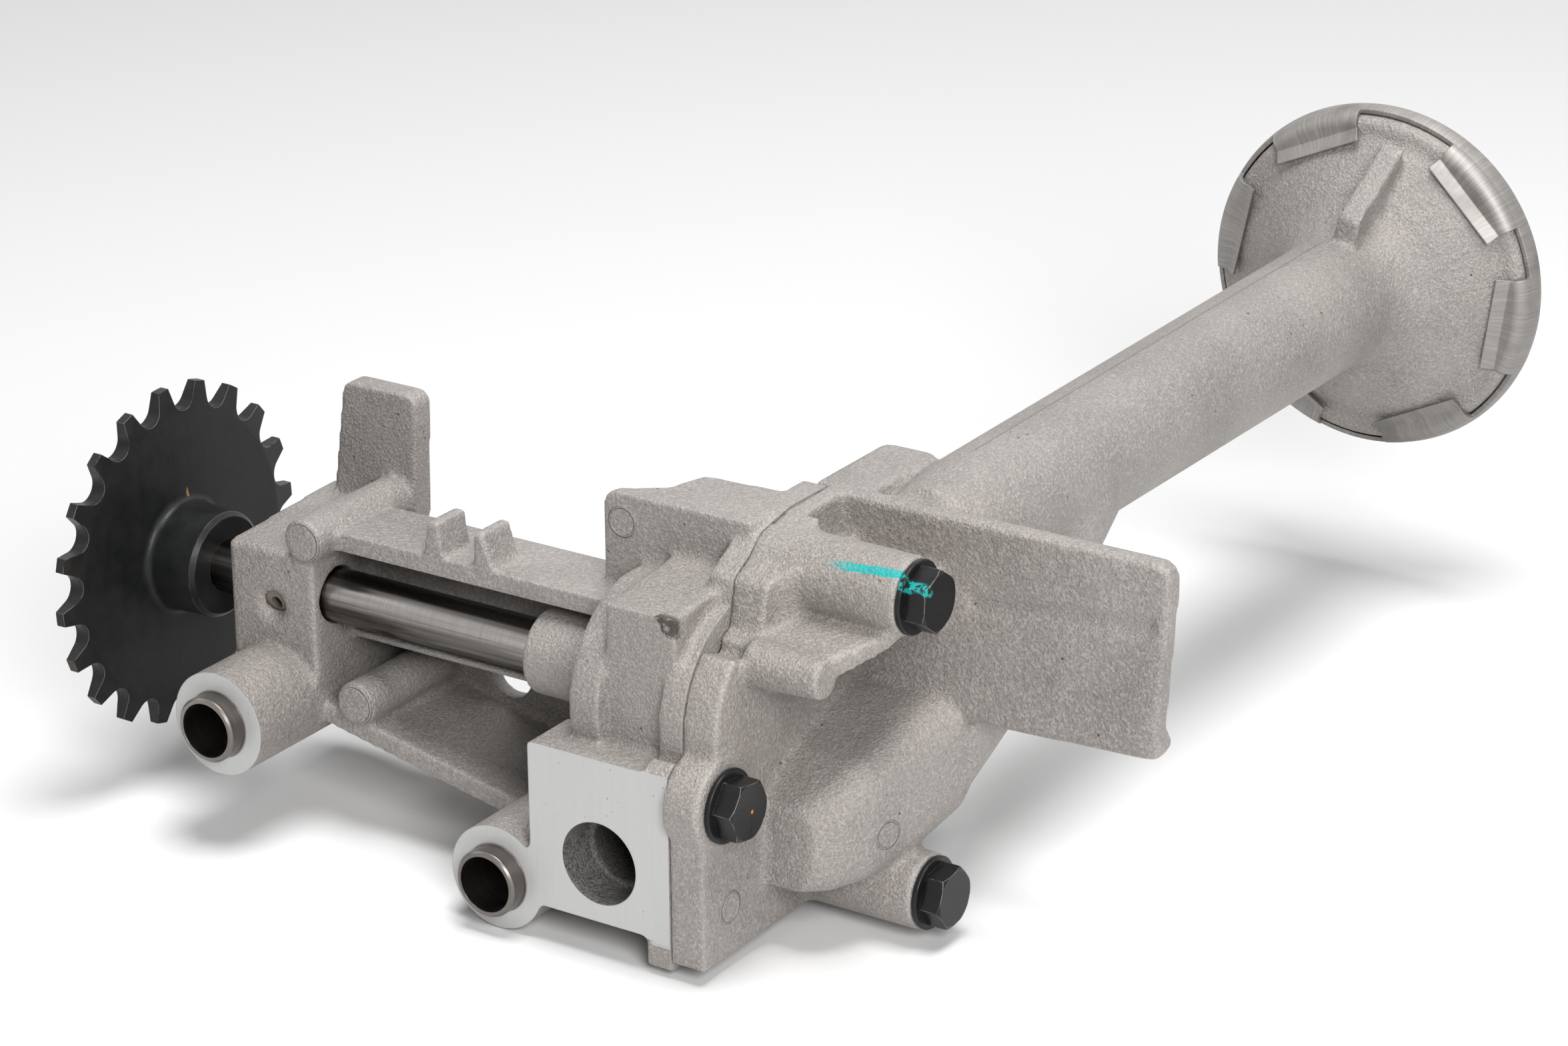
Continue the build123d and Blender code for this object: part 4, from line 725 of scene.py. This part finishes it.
def add_lights():
    world = bpy.data.worlds.new("world")
    bpy.context.scene.world = world
    world.use_nodes = True
    nt = world.node_tree
    nt.nodes.clear()
    out = nt.nodes.new("ShaderNodeOutputWorld")
    lit = nt.nodes.new("ShaderNodeBackground")
    seen = nt.nodes.new("ShaderNodeBackground")
    lit.inputs[0].default_value = (0.97, 0.98, 1.0, 1)
    lit.inputs[1].default_value = AMBIENT
    seen.inputs[0].default_value = (1, 1, 1, 1)
    seen.inputs[1].default_value = 1.0
    # The backdrop is white to the camera and in reflections, and lights the pump only a little
    path = nt.nodes.new("ShaderNodeLightPath")
    mix = nt.nodes.new("ShaderNodeMixShader")
    shown = None
    for ray in ("Is Camera Ray", "Is Glossy Ray", "Is Transmission Ray"):
        if shown is None:
            shown = path.outputs[ray]
            continue
        either = nt.nodes.new("ShaderNodeMath")
        either.operation = "MAXIMUM"
        nt.links.new(shown, either.inputs[0])
        nt.links.new(path.outputs[ray], either.inputs[1])
        shown = either.outputs[0]
    nt.links.new(shown, mix.inputs[0])
    nt.links.new(lit.outputs[0], mix.inputs[1])
    nt.links.new(seen.outputs[0], mix.inputs[2])
    nt.links.new(mix.outputs[0], out.inputs[0])
    for name, place, size, power in LAMPS:
        data = bpy.data.lights.new(name, "AREA")
        data.shape = "DISK"
        data.size = size
        data.energy = power
        lamp = bpy.data.objects.new(name, data)
        bpy.context.scene.collection.objects.link(lamp)
        lamp.location = place
        aim = Vector(LAMP_TARGET) - Vector(place)
        lamp.rotation_euler = aim.to_track_quat("-Z", "Y").to_euler()


def add_floor():
    bm = bmesh.new()
    bmesh.ops.create_grid(bm, x_segments=2, y_segments=2, size=FLOOR_HALF)
    mesh = bpy.data.meshes.new("floor")
    bm.to_mesh(mesh)
    bm.free()
    floor = mesh_object("floor", mesh)
    floor.location = (*FLOOR_CENTRE, FLOOR_Z * MM)
    t = Tree("floor")
    grey = t.ramp(t.noise(0.8, 2.0), [(0.3, (0.86, 0.86, 0.86)), (0.7, (0.88, 0.88, 0.88))])
    t.set(colour=grey, rough=0.9, metal=0.0)
    floor.data.materials.append(t.mat)


def paint_nodes():
    """Gives every solid its material and returns the one of the castings."""
    finish = {
        "drive_shaft": shaft_material(),
        "idler_pin": steel_material("pin_steel", (0.60, 0.60, 0.59), 0.2),
        "gear_key": steel_material("key_steel", (0.45, 0.44, 0.43), 0.35, along="none"),
        "drive_gear": steel_material("gear_steel", GEAR_GREY, 0.38, along="none"),
        "idler_gear": steel_material("gear_steel_b", GEAR_GREY, 0.38, along="none"),
        "idler_bush": steel_material("bush_bronze", BRONZE, 0.35),
        "front_bush": steel_material("bush_bronze_b", (0.205, 0.180, 0.150), 0.50, metal=0.3),
        "rear_bush": steel_material("bush_bronze_c", BRONZE, 0.35),
        "relief_piston": steel_material("piston_steel", (0.6, 0.6, 0.59), 0.2, along="y"),
        "relief_spring": steel_material("spring_steel", (0.30, 0.30, 0.31), 0.3, along="none"),
        "relief_seal": steel_material("seal_copper", (0.66, 0.32, 0.20), 0.35, along="y"),
        "dowel_sleeves": steel_material("sleeve_steel", SLEEVE_GREY, 0.30, along="y", streaks=0.4),
        "locating_pins": steel_material("locating_steel", (0.55, 0.55, 0.54), 0.25),
        "strainer_cup": cup_material(),
        "strainer_screen": steel_material("screen_steel", SCREEN_GREY, 0.35, along="none", bevel=0.1),
        "cover_bolts": black_material("bolt_black", (0.010, 0.010, 0.011), 0.32, paint=True),
        "bolt_washers": black_material("washer_black", BLACK_OXIDE, 0.34, paint=True, wear=0.0),
        "relief_plug": black_material("plug_black", BLACK_OXIDE, 0.36),
        "drive_sprocket": sprocket_material(),
    }
    cast = cast_material()
    finish["pump_housing"] = cast
    finish["pump_cover"] = cast
    for node, material in finish.items():
        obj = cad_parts[node]
        if not obj.material_slots:
            obj.data.materials.append(material)
        for slot in obj.material_slots:
            slot.material = material
    return cast


add_camera()
bpy.context.scene.view_settings.view_transform = "Standard"
add_lights()
add_floor()
cast = paint_nodes()
for piece in add_castings():
    piece.data.materials.clear()
    piece.data.materials.append(cast)
